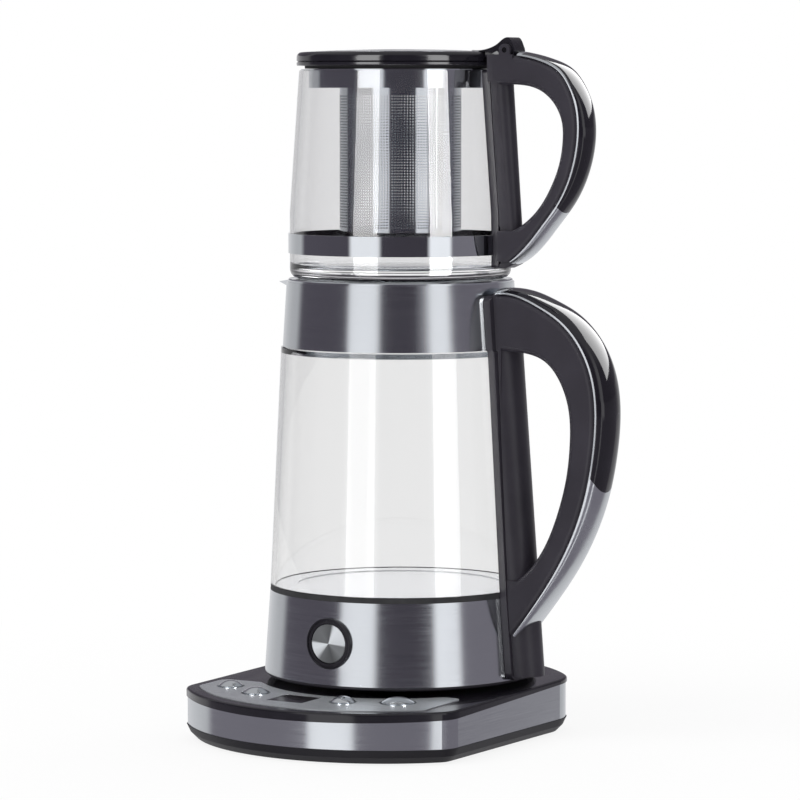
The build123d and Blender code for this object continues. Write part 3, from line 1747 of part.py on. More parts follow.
makers = [
    base_tray,
    base_band,
    base_deck,
    control_panel,
    display_window,
    display_module,
    control_board,
    power_board,
    power_components,
    tact_switches,
    base_socket,
    socket_contacts,
    base_screws,
    board_screws,
    rubber_feet,
    cord_gland,
    kettle_connector,
    connector_contacts,
    kettle_bottom_cover,
    kettle_skirt,
    kettle_gasket,
    heating_plate,
    heating_element,
    thermostat,
    kettle_glass,
    kettle_collar,
    teapot_seat,
    button_bezel,
    button_guide,
    kettle_button_cap,
    kettle_button_plunger,
    kettle_switch,
    kettle_handle_plate,
    kettle_handle,
    kettle_handle_strip,
    kettle_handle_inlay,
    kettle_handle_screws,
    teapot_glass,
    teapot_clamp_band,
    teapot_handle_plate,
    teapot_handle,
    teapot_handle_strip,
    teapot_handle_inlay,
    clamp_screw,
    infuser_collar,
    infuser_basket,
    infuser_base,
    lid_hinge_pin,
    lid_rim,
    lid_plate,
    lid_seal,
    lid_lever,
]


def main():
    """Build and write every node."""
    os.makedirs("parts", exist_ok=True)
    for maker in makers:
        save(maker(), maker.__name__)
    for name, x, y, radius in panel_buttons:
        save(panel_button(x, y, radius), name)


if __name__ == "__main__":
    main()
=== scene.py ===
from math import cos, pi, radians, sin, tan

import bpy
from bpy.props import FloatProperty, FloatVectorProperty, PointerProperty
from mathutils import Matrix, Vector


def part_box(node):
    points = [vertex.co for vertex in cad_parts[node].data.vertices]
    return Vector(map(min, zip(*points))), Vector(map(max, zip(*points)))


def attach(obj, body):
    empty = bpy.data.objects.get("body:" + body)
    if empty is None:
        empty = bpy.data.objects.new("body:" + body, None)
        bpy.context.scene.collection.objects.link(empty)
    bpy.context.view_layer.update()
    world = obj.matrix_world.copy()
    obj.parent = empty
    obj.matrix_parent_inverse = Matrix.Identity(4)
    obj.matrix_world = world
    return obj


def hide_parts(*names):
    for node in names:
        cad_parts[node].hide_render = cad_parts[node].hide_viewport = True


bl_info = {
    "name": "Tea Maker Finish",
    "version": (1, 0, 0),
    "blender": (4, 5, 0),
    "location": "View3D > Sidebar > Tea Maker",
    "description": "Dresses a two-tier glass tea maker and sets up its studio",
    "category": "Object",
}

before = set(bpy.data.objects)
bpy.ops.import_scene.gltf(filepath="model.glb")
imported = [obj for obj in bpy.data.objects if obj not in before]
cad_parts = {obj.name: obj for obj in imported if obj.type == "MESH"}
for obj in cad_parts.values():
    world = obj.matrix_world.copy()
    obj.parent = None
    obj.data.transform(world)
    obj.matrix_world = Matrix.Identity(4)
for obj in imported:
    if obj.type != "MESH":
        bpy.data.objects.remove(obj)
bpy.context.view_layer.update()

MM = 0.001
WHITE = (1.0, 1.0, 1.0, 1.0)
IMAGE_SIDE = 800            # the image's width and height in pixels
SENSOR_WIDTH = 36.0         # mm


# ---------------------------------------------------------------- settings

def colour_setting(label, description, default):
    return FloatVectorProperty(name=label, description=description, default=default,
                               subtype="COLOR", size=3, min=0.0, max=1.0)


def length_setting(label, description, default):
    return FloatProperty(name=label, description=description, default=default,
                         min=0.0, unit="LENGTH", precision=5)


def share_setting(label, description, default):
    return FloatProperty(name=label, description=description, default=default,
                         min=0.0, max=1.0, subtype="FACTOR")


def angle_setting(label, description, default):
    return FloatProperty(name=label, description=description, default=default,
                         unit="ROTATION", subtype="ANGLE")


class FinishSettings(bpy.types.PropertyGroup):
    steel: colour_setting("Steel", "Colour of the brushed steel sheet", (0.77, 0.80, 0.83))
    chrome: colour_setting("Chrome", "Colour of the plated trim", (0.80, 0.83, 0.86))
    plastic: colour_setting("Handle plastic", "Colour of the satin black mouldings",
                            (0.029, 0.026, 0.035))
    gloss: colour_setting("Gloss black", "Colour of the polished black mouldings",
                          (0.010, 0.009, 0.013))
    kettle_glass: colour_setting("Kettle glass", "Tint of the kettle's glass",
                                 (0.93, 0.93, 0.93))
    teapot_glass: colour_setting("Teapot glass", "Tint of the teapot's glass",
                                 (0.9, 0.9, 0.905))
    rubber: colour_setting("Rubber", "Colour of the feet and seals", (0.03, 0.03, 0.032))
    lens: colour_setting("Display lens", "Colour of the smoked window", (0.02, 0.018, 0.02))
    board: colour_setting("Circuit board", "Colour of the solder mask", (0.02, 0.16, 0.07))
    dark: colour_setting("Dark parts", "Colour of the hinge pin and the components",
                         (0.05, 0.05, 0.055))
    brass: colour_setting("Brass", "Colour of the contacts", (0.78, 0.57, 0.24))
    heater: colour_setting("Heating plate", "Colour of the kettle's inner floor",
                           (0.9, 0.91, 0.92))
    aluminium: colour_setting("Aluminium", "Colour of the heating element", (0.6, 0.6, 0.6))
    steel_roughness: share_setting("Steel roughness", "Roughness of the brushed steel", 0.16)
    chrome_roughness: share_setting("Chrome roughness", "Roughness of the plated trim", 0.24)
    plastic_roughness: share_setting("Plastic roughness", "Roughness of the satin black", 0.38)
    brush_length: length_setting("Brush length", "Length of one brush mark", 30 * MM)
    brush_pitch: length_setting("Brush pitch", "Width of one brush mark", 0.16 * MM)


class InfuserSettings(bpy.types.PropertyGroup):
    hole_pitch: length_setting("Hole pitch", "Distance between two holes", 1.55 * MM)
    hole_share: share_setting("Hole share", "Width of a hole as a share of the pitch", 0.66)
    top_margin: length_setting("Top margin", "Plain sheet above the holes", 3.0 * MM)
    bottom_margin: length_setting("Bottom margin", "Plain sheet below the holes", 1.2 * MM)
    sheet: length_setting("Sheet", "Thickness of the perforated sheet", 0.4 * MM)


class StudioSettings(bpy.types.PropertyGroup):
    azimuth: angle_setting("Azimuth", "Direction of the camera round the object, from the front",
                           radians(31.5))
    distance: length_setting("Distance", "Level distance from the camera to the axis", 2.170)
    height: length_setting("Height", "Height of the camera above the table", 0.3555)
    aim: length_setting("Aim", "Height of the point the camera looks at", 0.1835)
    focal: FloatProperty(name="Focal length", description="Focal length in pixels of the image",
                         default=3934.7, min=1.0)
    centre_x: FloatProperty(name="Centre", description="Pixel column of the optical axis",
                            default=400.5)
    fill: FloatProperty(name="Fill", description="Strength of the even studio light",
                        default=0.72, min=0.0)
    key: FloatProperty(name="Key", description="Power of the key softbox in watts",
                       default=9.0, min=0.0)
    rim: FloatProperty(name="Rim", description="Power of the rear softbox in watts",
                       default=5.0, min=0.0)
    left_strip: FloatProperty(name="Left strip", description="Brightness of the left strip light",
                              default=9.5, min=0.0)
    right_strip: FloatProperty(name="Right strip",
                               description="Brightness of the right strip light",
                               default=17.0, min=0.0)
    rear_strip: FloatProperty(name="Rear strip",
                              description="Brightness of the raised rear strip light",
                              default=5.0, min=0.0)
    faint_strips: FloatProperty(name="Faint strips",
                                description="Brightness of the strips in the kettle and the lid",
                                default=4.0, min=0.0)
    floor_radius: length_setting("Floor", "Radius of the floor", 1.5)
    shadow: share_setting("Shadow", "How much of the contact shadow the floor shows", 0.14)


# ---------------------------------------------------------------- shader tools

class Value:
    """A node's output. Arithmetic on it adds Math nodes."""

    def __init__(self, tree, socket):
        self.tree = tree
        self.socket = socket

    def _math(self, operation, *terms):
        return self.tree.node("ShaderNodeMath", {"operation": operation},
                              dict(enumerate(terms)))

    def arctan2(self, other):
        return self._math("ARCTAN2", self, other)

    def __add__(self, other):
        return self._math("ADD", self, other)

    def __rsub__(self, other):
        return self._math("SUBTRACT", other, self)

    def __mul__(self, other):
        return self._math("MULTIPLY", self, other)

    def __pow__(self, other):
        return self._math("POWER", self, other)

    def __gt__(self, other):
        return self._math("GREATER_THAN", self, other)


class NodeTree:
    """A shader's node tree, built one node at a time."""

    def __init__(self, tree):
        self.tree = tree
        tree.nodes.clear()

    def node(self, kind, settings=None, values=None, output=0):
        made = self.tree.nodes.new(kind)
        for name, setting in (settings or {}).items():
            if name == "stops":
                self._set_stops(made.color_ramp, setting)
            else:
                setattr(made, name, setting)
        for name, value in (values or {}).items():
            if isinstance(value, Value):
                self.tree.links.new(value.socket, made.inputs[name])
            else:
                made.inputs[name].default_value = value
        return Value(self, made.outputs[output]) if made.outputs else None

    def _set_stops(self, ramp, stops):
        while len(ramp.elements) < len(stops):
            ramp.elements.new(1.0)
        for element, (position, colour) in zip(ramp.elements, stops):
            element.position = position
            element.color = colour

    def noise(self, place, scale, detail, roughness=0.5):
        return self.node("ShaderNodeTexNoise", None,
                         {"Vector": place, "Scale": scale, "Detail": detail,
                          "Roughness": roughness})

    def place(self, stretch=(1.0, 1.0, 1.0)):
        """Where a point lies in the object's frame, stretched along each axis."""
        point = self.node("ShaderNodeTexCoord", output="Object")
        return self.node("ShaderNodeMapping", None, {"Vector": point, "Scale": stretch})

    def parts(self, vector):
        """The X, Y and Z of a vector."""
        outputs = self.node("ShaderNodeSeparateXYZ", None, {0: vector}).socket.node.outputs
        return [Value(self, outputs[axis]) for axis in "XYZ"]

    def ramp(self, share, stops):
        """A grey or coloured ramp by a share of its length."""
        return self.node("ShaderNodeValToRGB", {"stops": stops}, {0: share})

    def bounces(self, kind, more_than=0.5):
        """1 where the ray has bounced that way more often than that on its path, else 0."""
        return self.node("ShaderNodeLightPath", output=kind + " Depth") > more_than

    def straight(self):
        """1 for a ray that only went through air and glass since it left the camera."""
        return (1.0 - self.bounces("Glossy")) * (1.0 - self.bounces("Diffuse"))

    def mix(self, factor, first, second):
        return self.node("ShaderNodeMix", {"data_type": "RGBA"},
                         {0: factor, 6: first, 7: second}, output=2)

    def bump(self, height, distance, strength):
        return self.node("ShaderNodeBump", None,
                         {"Height": height, "Distance": distance, "Strength": strength})

    def grade(self, value, low, high):
        """Stretches a noise value of about 0.3 to 0.7 between two results."""
        return self.node("ShaderNodeMapRange", None,
                         {"Value": value, "From Min": 0.3, "From Max": 0.7,
                          "To Min": low, "To Max": high})

    def rise(self, value, bounds, low=0.0, high=1.0):
        """Goes smoothly from low to high while a value goes through its bounds."""
        return self.node("ShaderNodeMapRange", {"interpolation_type": "SMOOTHSTEP"},
                         {"Value": value, "From Min": bounds[0], "From Max": bounds[1],
                          "To Min": low, "To Max": high})


def opaque(colour, share=1.0):
    """An RGBA colour from a setting, darkened to a share of itself."""
    return (colour[0] * share, colour[1] * share, colour[2] * share, 1.0)


def grey(level):
    return (level, level, level, 1.0)


def finish_material(name, build):
    """A material whose Principled inputs come from build(tree)."""
    material = bpy.data.materials.new(name)
    material.use_nodes = True
    tree = NodeTree(material.node_tree)
    surface = tree.node("ShaderNodeBsdfPrincipled", None, build(tree))
    tree.node("ShaderNodeOutputMaterial", None, {"Surface": surface})
    return material


def dress(material, *names):
    for name in names:
        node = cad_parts[name]
        node.data.materials.clear()
        node.data.materials.append(material)


# ---------------------------------------------------------------- finishes

def brushed_steel(name, settings, colour, roughness, along="round", metallic=1.0):
    """Sheet steel with fine brush marks: round the vertical axis, or along X on flat faces."""
    fine = 1.0 / settings.brush_pitch
    long = 1.0 / settings.brush_length
    stretch = {"round": (long, long, fine), "across": (long, fine, fine)}[along]
    coarse_stretch = [share * 0.22 for share in stretch]

    def build(tree):
        marks = tree.noise(tree.place(stretch), scale=1.0, detail=4.0, roughness=0.6)
        coarse = tree.noise(tree.place(coarse_stretch), scale=1.0, detail=2.0)
        clouds = tree.noise(tree.place(), scale=28.0, detail=2.0)
        tone = tree.mix(tree.grade(marks, 0.0, 1.0), opaque(colour, 0.9), opaque(colour))
        tone = tree.mix(tree.grade(clouds, 0.0, 0.35), tone, opaque(colour, 0.86))
        return {
            "Base Color": tone,
            "Metallic": metallic,
            "Roughness": tree.grade(marks, roughness * 0.6, roughness * 1.4),
            "Normal": tree.bump(marks + coarse, distance=0.002 * MM, strength=0.5),
        }

    return finish_material(name, build)


def polished_metal(name, colour, roughness):
    """Bright plating with faint wipe marks."""

    def build(tree):
        wipe = tree.noise(tree.place((60.0, 60.0, 18.0)), scale=1.0, detail=3.0)
        waves = tree.noise(tree.place(), scale=45.0, detail=1.0)
        return {
            "Base Color": tree.mix(tree.grade(wipe, 0.0, 1.0), opaque(colour, 0.93),
                                   opaque(colour)),
            "Metallic": 1.0,
            "Roughness": tree.grade(wipe, roughness * 0.7, roughness * 1.4),
            "Normal": tree.bump(waves, distance=0.02 * MM, strength=0.3),
        }

    return finish_material(name, build)


GRAIN = 0.25 * MM           # width of a pit in the satin mouldings
GRAIN_DEPTH = 0.012 * MM


def moulded_plastic(name, colour, roughness):
    """A plastic moulding with a fine spark-eroded grain and slight cloudiness."""

    def build(tree):
        pits = tree.noise(tree.place(), scale=1.0 / GRAIN, detail=3.0, roughness=0.6)
        clouds = tree.noise(tree.place(), scale=35.0, detail=3.0)
        return {
            "Base Color": tree.mix(tree.grade(clouds, 0.0, 1.0), opaque(colour, 0.85),
                                   opaque(colour, 1.15)),
            "Roughness": tree.grade(pits, roughness - 0.06, roughness + 0.06),
            "Normal": tree.bump(pits, distance=GRAIN_DEPTH, strength=0.5),
        }

    return finish_material(name, build)


def gloss_plastic(name, colour, roughness=0.06):
    """A mirror-polished moulding under a clear coat, with hair-fine wipe marks."""

    def build(tree):
        wipe = tree.noise(tree.place((90.0, 20.0, 60.0)), scale=1.0, detail=4.0)
        dust = tree.noise(tree.place(), scale=1600.0, detail=1.0)
        return {
            "Base Color": tree.mix(tree.grade(wipe, 0.0, 1.0), opaque(colour, 0.8),
                                   opaque(colour, 1.2)),
            "Roughness": tree.grade(wipe, roughness * 0.6, roughness * 1.6),
            "Coat Weight": 0.3,
            "Coat Roughness": 0.04,
            "Normal": tree.bump(dust, distance=0.001 * MM, strength=0.3),
        }

    return finish_material(name, build)


def clear_glass(name, colour):
    """Blown borosilicate glass with a very slight ripple."""

    def build(tree):
        ripple = tree.noise(tree.place((30.0, 30.0, 9.0)), scale=1.0, detail=1.0)
        return {
            "Base Color": opaque(colour),
            "Roughness": tree.grade(ripple, 0.0, 0.012),
            "IOR": 1.47,
            "Transmission Weight": 1.0,
            "Normal": tree.bump(ripple, distance=0.05 * MM, strength=0.3),
        }

    return finish_material(name, build)


def soft_rubber(name, colour):
    """Rubber or silicone with a fine matt skin."""

    def build(tree):
        skin = tree.noise(tree.place(), scale=2600.0, detail=2.0)
        bloom = tree.noise(tree.place(), scale=120.0, detail=3.0)
        return {
            "Base Color": tree.mix(tree.grade(bloom, 0.0, 1.0), opaque(colour, 0.8),
                                   opaque(colour, 1.3)),
            "Roughness": tree.grade(skin, 0.55, 0.75),
            "Normal": tree.bump(skin, distance=0.02 * MM, strength=0.4),
        }

    return finish_material(name, build)


SHARE_OF_TURN = 0.5 / pi    # of an angle in radians

# Painted highlights and painted shade of the turned disc: base colour brightness by its share of
# a turn, from the left side round below.
PAINTED_LIGHT_FAN = [(0.0, 0.95), (0.05, 1.0), (0.12, 0.75), (0.16, 0.15), (0.3, 0.06), (0.4, 0.22),
       (0.48, 0.2), (0.5, 0.85), (0.66, 1.0), (0.69, 0.9), (0.72, 0.08), (0.85, 0.16),
       (0.98, 0.14), (1.0, 0.85)]


def turned_disc(name, colour, centre):
    """Steel turned on a lathe: rings about the Y axis, and the fan of light such rings hold,
    painted into the base colour as painted highlights and painted shade.
    """

    def build(tree):
        point = tree.node("ShaderNodeTexCoord", output="Object")
        offset = tree.node("ShaderNodeVectorMath", {"operation": "SUBTRACT"},
                           {0: point, 1: centre})
        across, _, up = tree.parts(offset)
        angle = up.arctan2(across)
        radius = (across * across + up * up) ** 0.5
        rings = tree.noise(tree.node("ShaderNodeCombineXYZ", None, {0: radius}),
                           scale=5200.0, detail=2.0)
        # painted highlights and painted shade: the fan of light is painted into the base colour
        # by the angle round the centre
        painted_light_fan = tree.ramp(angle * SHARE_OF_TURN + 0.5,
                        [(share, grey(level)) for share, level in PAINTED_LIGHT_FAN])
        return {
            "Base Color": tree.mix(painted_light_fan, opaque(colour, 0.06), opaque(colour, 1.2)),
            "Metallic": 0.3,
            "Roughness": tree.grade(rings, 0.3, 0.45),
            "Normal": tree.bump(rings, distance=0.02 * MM, strength=0.6),
        }

    return finish_material(name, build)


def circuit_board(name, colour):
    """Solder mask over copper runs."""

    def build(tree):
        runs = tree.node("ShaderNodeTexBrick", {"offset": 0.5},
                         {"Vector": tree.place((1.0, 1.0, 0.0)), "Scale": 160.0,
                          "Mortar Size": 0.06, "Color1": WHITE, "Color2": WHITE,
                          "Mortar": grey(0.0)})
        speck = tree.noise(tree.place(), scale=700.0, detail=2.0)
        return {
            "Base Color": tree.mix(runs, opaque(colour, 1.7), opaque(colour)),
            "Roughness": tree.grade(speck, 0.3, 0.5),
        }

    return finish_material(name, build)


# ---------------------------------------------------------------- pieces

def add_piece(name, vertices, faces, body, material):
    mesh = bpy.data.meshes.new(name)
    mesh.from_pydata(vertices, [], faces)
    mesh.validate()
    mesh.shade_smooth()
    piece = bpy.data.objects.new(name, mesh)
    bpy.context.scene.collection.objects.link(piece)
    piece.data.materials.append(material)
    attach(piece, body)
    return piece


HOLE_CORNERS = 8


def perforated_tube(radius, bottom, top, infuser):
    """Corners and faces of a sheet tube with a square grid of round holes."""
    around = round(2 * pi * radius / infuser.hole_pitch)
    first = bottom + infuser.bottom_margin
    rows = int((top - infuser.top_margin - first) / infuser.hole_pitch)
    cell_angle = 2 * pi / around
    hole_radius = infuser.hole_share / 2
    vertices, faces = [], []

    def on_tube(angle, height):
        return (radius * cos(angle), radius * sin(angle), height)

    # Square cells, each with four corners in the grid.
    grid = {}
    for row in range(rows + 1):
        for column in range(around):
            grid[row, column] = len(vertices)
            vertices.append(on_tube(column * cell_angle, first + row * infuser.hole_pitch))
    # A round hole in each cell, with two faces between it and each side of the cell.
    for row in range(rows):
        for column in range(around):
            hole = []
            for corner in range(HOLE_CORNERS):
                turn = 2 * pi * (corner + 0.5) / HOLE_CORNERS
                angle = (column + 0.5 + hole_radius * cos(turn)) * cell_angle
                rise = (row + 0.5 + hole_radius * sin(turn)) * infuser.hole_pitch
                hole.append(len(vertices))
                vertices.append(on_tube(angle, first + rise))
            beside = (column + 1) % around
            frame_corners = [grid[row + 1, beside], grid[row + 1, column],
                             grid[row, column], grid[row, beside]]
            for side in range(4):
                start = 2 * side
                faces.append([frame_corners[side], hole[start + 1], hole[start]])
                faces.append([frame_corners[side], frame_corners[(side + 1) % 4],
                              hole[(start + 2) % HOLE_CORNERS], hole[start + 1]])
    # Plain sheet below and above the holes.
    for height, row in ((bottom, 0), (top, rows)):
        ring = []
        for column in range(around):
            ring.append(len(vertices))
            vertices.append(on_tube(column * cell_angle, height))
        for column in range(around):
            beside = (column + 1) % around
            band = [ring[column], ring[beside], grid[row, beside], grid[row, column]]
            faces.append(band if row == 0 else band[::-1])
    return vertices, faces


def add_infuser_sheet(infuser, material):
    low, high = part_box("infuser_basket")
    radius = high.x - infuser.sheet
    vertices, faces = perforated_tube(radius, low.z, high.z, infuser)
    sheet = add_piece("infuser_sheet", vertices, faces, "teapot", material)
    wall = sheet.modifiers.new("wall", "SOLIDIFY")
    wall.thickness = infuser.sheet
    wall.offset = 1.0
    edges = sheet.modifiers.new("sharp_edges", "EDGE_SPLIT")
    edges.split_angle = radians(40)
    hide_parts("infuser_basket")


# ---------------------------------------------------------------- operators

class TEAMAKER_OT_base(bpy.types.Operator):
    """Finish the power base: tray, steel band, deck, panel, display and feet"""
    bl_idname = "teamaker.base"
    bl_label = "Power base"

    def execute(self, context):
        look = context.scene.tea_maker_finish
        dress(moulded_plastic("tray_plastic", look.gloss, roughness=0.5), "base_tray")
        dress(brushed_steel("band_steel", look, look.steel, roughness=0.14), "base_band")
        dress(gloss_plastic("deck_black", look.gloss, roughness=0.12), "base_deck")
        dress(brushed_steel("panel_steel", look, look.steel, roughness=0.36,
                            along="across", metallic=0.75),
              "control_panel")
        dress(gloss_plastic("display_lens", look.lens, roughness=0.08), "display_window")
        dress(soft_rubber("foot_rubber", look.rubber), "rubber_feet")
        dress(moulded_plastic("gland_plastic", look.plastic, roughness=0.5), "cord_gland")
        dress(moulded_plastic("socket_plastic", look.plastic, roughness=0.4), "base_socket")
        return {"FINISHED"}


class TEAMAKER_OT_buttons(bpy.types.Operator):
    """Finish the domed keys of the panel and the kettle's round button"""
    bl_idname = "teamaker.buttons"
    bl_label = "Buttons"

    def execute(self, context):
        look = context.scene.tea_maker_finish
        dress(polished_metal("key_chrome", look.chrome, roughness=0.06),
              "button_far_left", "button_left", "button_right", "button_far_right")
        low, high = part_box("kettle_button_cap")
        dress(turned_disc("turned_steel", look.steel, (low + high) / 2), "kettle_button_cap")
        dress(gloss_plastic("bezel_black", look.gloss, roughness=0.08), "button_bezel")
        dress(gloss_plastic("guide_black", look.gloss, roughness=0.2),
              "button_guide", "kettle_button_plunger")
        return {"FINISHED"}


class TEAMAKER_OT_kettle(bpy.types.Operator):
    """Finish the kettle's glass, skirt, collar, heater and connector"""
    bl_idname = "teamaker.kettle"
    bl_label = "Kettle"

    def execute(self, context):
        look = context.scene.tea_maker_finish
        dress(clear_glass("kettle_glass", look.kettle_glass), "kettle_glass")
        dress(brushed_steel("skirt_steel", look, look.steel, roughness=look.steel_roughness),
              "kettle_skirt", "kettle_collar")
        dress(brushed_steel("plate_steel", look, look.heater, roughness=0.2,
                            along="across", metallic=0.6),
              "heating_plate")
        dress(polished_metal("seat_steel", look.steel, roughness=0.16), "teapot_seat")
        dress(soft_rubber("gasket_silicone", look.rubber), "kettle_gasket")
        dress(moulded_plastic("cover_plastic", look.plastic, roughness=0.42),
              "kettle_bottom_cover", "kettle_connector", "kettle_switch", "thermostat")
        dress(polished_metal("element_aluminium", look.aluminium, roughness=0.4),
              "heating_element")
        return {"FINISHED"}


class TEAMAKER_OT_handles(bpy.types.Operator):
    """Finish both handles: satin bodies, bright strips, gloss inlays and screws"""
    bl_idname = "teamaker.handles"
    bl_label = "Handles"

    def execute(self, context):
        look = context.scene.tea_maker_finish
        dress(moulded_plastic("handle_plastic", look.plastic, roughness=look.plastic_roughness),
              "kettle_handle", "teapot_handle")
        dress(moulded_plastic("plate_plastic", look.plastic, roughness=0.2),
              "kettle_handle_plate", "teapot_handle_plate")
        dress(polished_metal("strip_chrome", look.chrome, roughness=look.chrome_roughness),
              "kettle_handle_strip", "teapot_handle_strip")
        dress(gloss_plastic("inlay_black", look.gloss), "kettle_handle_inlay",
              "teapot_handle_inlay")
        dress(polished_metal("screw_steel", look.steel, roughness=0.25),
              "kettle_handle_screws", "clamp_screw", "base_screws", "board_screws")
        dress(polished_metal("pin_black", look.dark, roughness=0.3), "lid_hinge_pin")
        return {"FINISHED"}


class TEAMAKER_OT_teapot(bpy.types.Operator):
    """Finish the teapot's glass, clamp band, infuser and lid"""
    bl_idname = "teamaker.teapot"
    bl_label = "Teapot"

    def execute(self, context):
        look = context.scene.tea_maker_finish
        infuser = context.scene.tea_maker_infuser
        dress(clear_glass("teapot_glass", look.teapot_glass), "teapot_glass")
        dress(polished_metal("clamp_steel", look.steel, roughness=0.06), "teapot_clamp_band")
        infuser_steel = polished_metal("infuser_steel", look.steel, roughness=0.06)
        dress(infuser_steel, "infuser_collar", "infuser_base")
        add_infuser_sheet(infuser, infuser_steel)
        dress(gloss_plastic("lid_plastic", look.gloss, roughness=0.12), "lid_rim", "lid_lever")
        dress(polished_metal("lid_steel", look.steel, roughness=0.14), "lid_plate")
        dress(soft_rubber("seal_silicone", look.rubber), "lid_seal")
        return {"FINISHED"}


class TEAMAKER_OT_inside(bpy.types.Operator):
    """Finish the hidden boards, contacts and display module"""
    bl_idname = "teamaker.inside"
    bl_label = "Inside"

    def execute(self, context):
        look = context.scene.tea_maker_finish
        dress(circuit_board("solder_mask", look.board), "control_board", "power_board")
        dress(moulded_plastic("component_plastic", look.dark, roughness=0.35),
              "power_components", "tact_switches", "display_module")
        dress(polished_metal("contact_brass", look.brass, roughness=0.25),
              "socket_contacts", "connector_contacts")
        return {"FINISHED"}


class TEAMAKER_OT_stage(bpy.types.Operator):
    """Set up the floor, the soft lights, the studio's surroundings and the camera"""
    bl_idname = "teamaker.stage"
    bl_label = "Stage"

    def execute(self, context):
        studio = context.scene.tea_maker_studio
        add_floor(studio)
        add_softbox("key_softbox", studio, turn=-55.0, lift=50.0, side=0.9, power=studio.key)
        add_softbox("rim_softbox", studio, turn=130.0, lift=35.0, side=0.7, power=studio.rim)
        left = {"turns": (-49, -23), "lift": 0.0, "height": 2.6}
        right = {"turns": (30, 54), "lift": 0.0, "height": 2.6}
        rear = {"turns": (85, 150), "lift": 38.0, "height": 1.6}
        add_strip("left_strip", studio, studio.left_strip, STRIP_MIRRORS, **left)
        add_strip("right_strip", studio, studio.right_strip, RIGHT_MIRRORS, **right)
        add_strip("rear_strip", studio, studio.rear_strip, INLAYS, **rear)
        add_strip("kettle_left_strip", studio, studio.faint_strips, FAINT_MIRRORS, **left)
        add_strip("kettle_right_strip", studio, studio.faint_strips, FAINT_MIRRORS, **right)
        set_surroundings(studio)
        add_camera(studio)
        context.scene.view_settings.view_transform = "Standard"
        return {"FINISHED"}


# ---------------------------------------------------------------- stage

SHADOW_REACH = (0.12, 0.5)  # metres from the axis over which the contact shadow fades


def add_floor(studio):
    """A pale round floor, out of sight of the reflections."""
    steps = 96
    rings = 2
    vertices = [(0.0, 0.0, 0.0)]
    for ring in range(1, rings + 1):
        for step in range(steps):
            angle = 2 * pi * step / steps
            reach = studio.floor_radius * ring / rings
            vertices.append((reach * cos(angle), reach * sin(angle), 0.0))
    faces = [[0, 1 + step, 1 + (step + 1) % steps] for step in range(steps)]
    for step in range(steps):
        beside = (step + 1) % steps
        faces.append([1 + step, 1 + steps + step, 1 + steps + beside, 1 + beside])
    mesh = bpy.data.meshes.new("floor")
    mesh.from_pydata(vertices, [], faces)
    mesh.materials.append(floor_paper(studio))
    floor = bpy.data.objects.new("floor", mesh)
    bpy.context.scene.collection.objects.link(floor)
    floor.visible_glossy = False


def floor_paper(studio):
    """Paper that fades into the white surroundings away from the object."""
    material = bpy.data.materials.new("floor_paper")
    material.use_nodes = True
    tree = NodeTree(material.node_tree)
    paper = tree.noise(tree.place(), scale=400.0, detail=3.0)
    diffuse = tree.node("ShaderNodeBsdfDiffuse", None,
                        {"Color": tree.mix(tree.grade(paper, 0.0, 1.0), grey(0.9),
                                           grey(0.94))})
    glow = tree.node("ShaderNodeEmission", None, {"Color": WHITE, "Strength": 1.0})
    point = tree.node("ShaderNodeTexCoord", output="Object")
    reach = tree.node("ShaderNodeVectorMath", {"operation": "LENGTH"}, {0: point}, output=1)
    fade = tree.rise(reach, SHADOW_REACH, low=1.0 - studio.shadow)
    surface = tree.node("ShaderNodeMixShader", None,
                        {0: tree.straight() * fade, 1: diffuse, 2: glow})
    tree.node("ShaderNodeOutputMaterial", None, {"Surface": surface})
    return material


def direction(azimuth, elevation):
    """A unit vector towards a compass direction seen from the front, and a height."""
    return Vector((sin(azimuth) * cos(elevation), -cos(azimuth) * cos(elevation),
                   sin(elevation)))


def aim_at(thing, place, target):
    thing.location = place
    thing.rotation_euler = (target - place).to_track_quat("-Z", "Y").to_euler()
    bpy.context.scene.collection.objects.link(thing)


SOFTBOX_DISTANCE = 1.6
STRIP_DISTANCE = 2.0


def add_softbox(name, studio, turn, lift, side, power):
    """A square area light, turned from the camera's direction and lifted by degrees."""
    lamp = bpy.data.lights.new(name, "AREA")
    lamp.shape = "SQUARE"
    lamp.size = side
    lamp.energy = power
    box = bpy.data.objects.new(name, lamp)
    box.visible_glossy = False
    target = Vector((0.0, 0.0, studio.aim))
    way = direction(studio.azimuth + radians(turn), radians(lift))
    aim_at(box, target + way * SOFTBOX_DISTANCE, target)


# The polished nodes in which the strip lights show.
INLAYS = ("teapot_handle_inlay", "kettle_handle_inlay")
RIGHT_MIRRORS = ("teapot_glass", "teapot_handle_plate", "kettle_handle_plate",
                 "display_window", "button_guide", "button_far_left", "button_left",
                 "button_right", "button_far_right")
STRIP_MIRRORS = RIGHT_MIRRORS + INLAYS
FAINT_MIRRORS = ("kettle_glass", "lid_rim", "lid_lever")


def add_strip(name, studio, brightness, mirrors, turns, lift, height):
    """A strip light between two turns from the camera's direction, lifted, all in degrees.

    Only the polished nodes named in mirrors show it, and it lights nothing.
    """
    half_turn = radians(turns[1] - turns[0]) / 2
    lamp = bpy.data.lights.new(name, "AREA")
    lamp.shape = "RECTANGLE"
    lamp.size = 2 * STRIP_DISTANCE * tan(half_turn)
    lamp.size_y = height
    lamp.energy = brightness * pi * lamp.size * height
    strip = bpy.data.objects.new(name, lamp)
    strip.visible_camera = False
    strip.visible_diffuse = False
    strip.visible_transmission = False
    receivers = bpy.data.collections.new(name + "_mirrors")
    for mirror in mirrors:
        receivers.objects.link(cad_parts[mirror])
    strip.light_linking.receiver_collection = receivers
    target = Vector((0.0, 0.0, studio.aim))
    way = direction(studio.azimuth + radians(turns[0]) + half_turn, radians(lift))
    aim_at(strip, target + way * STRIP_DISTANCE, target)


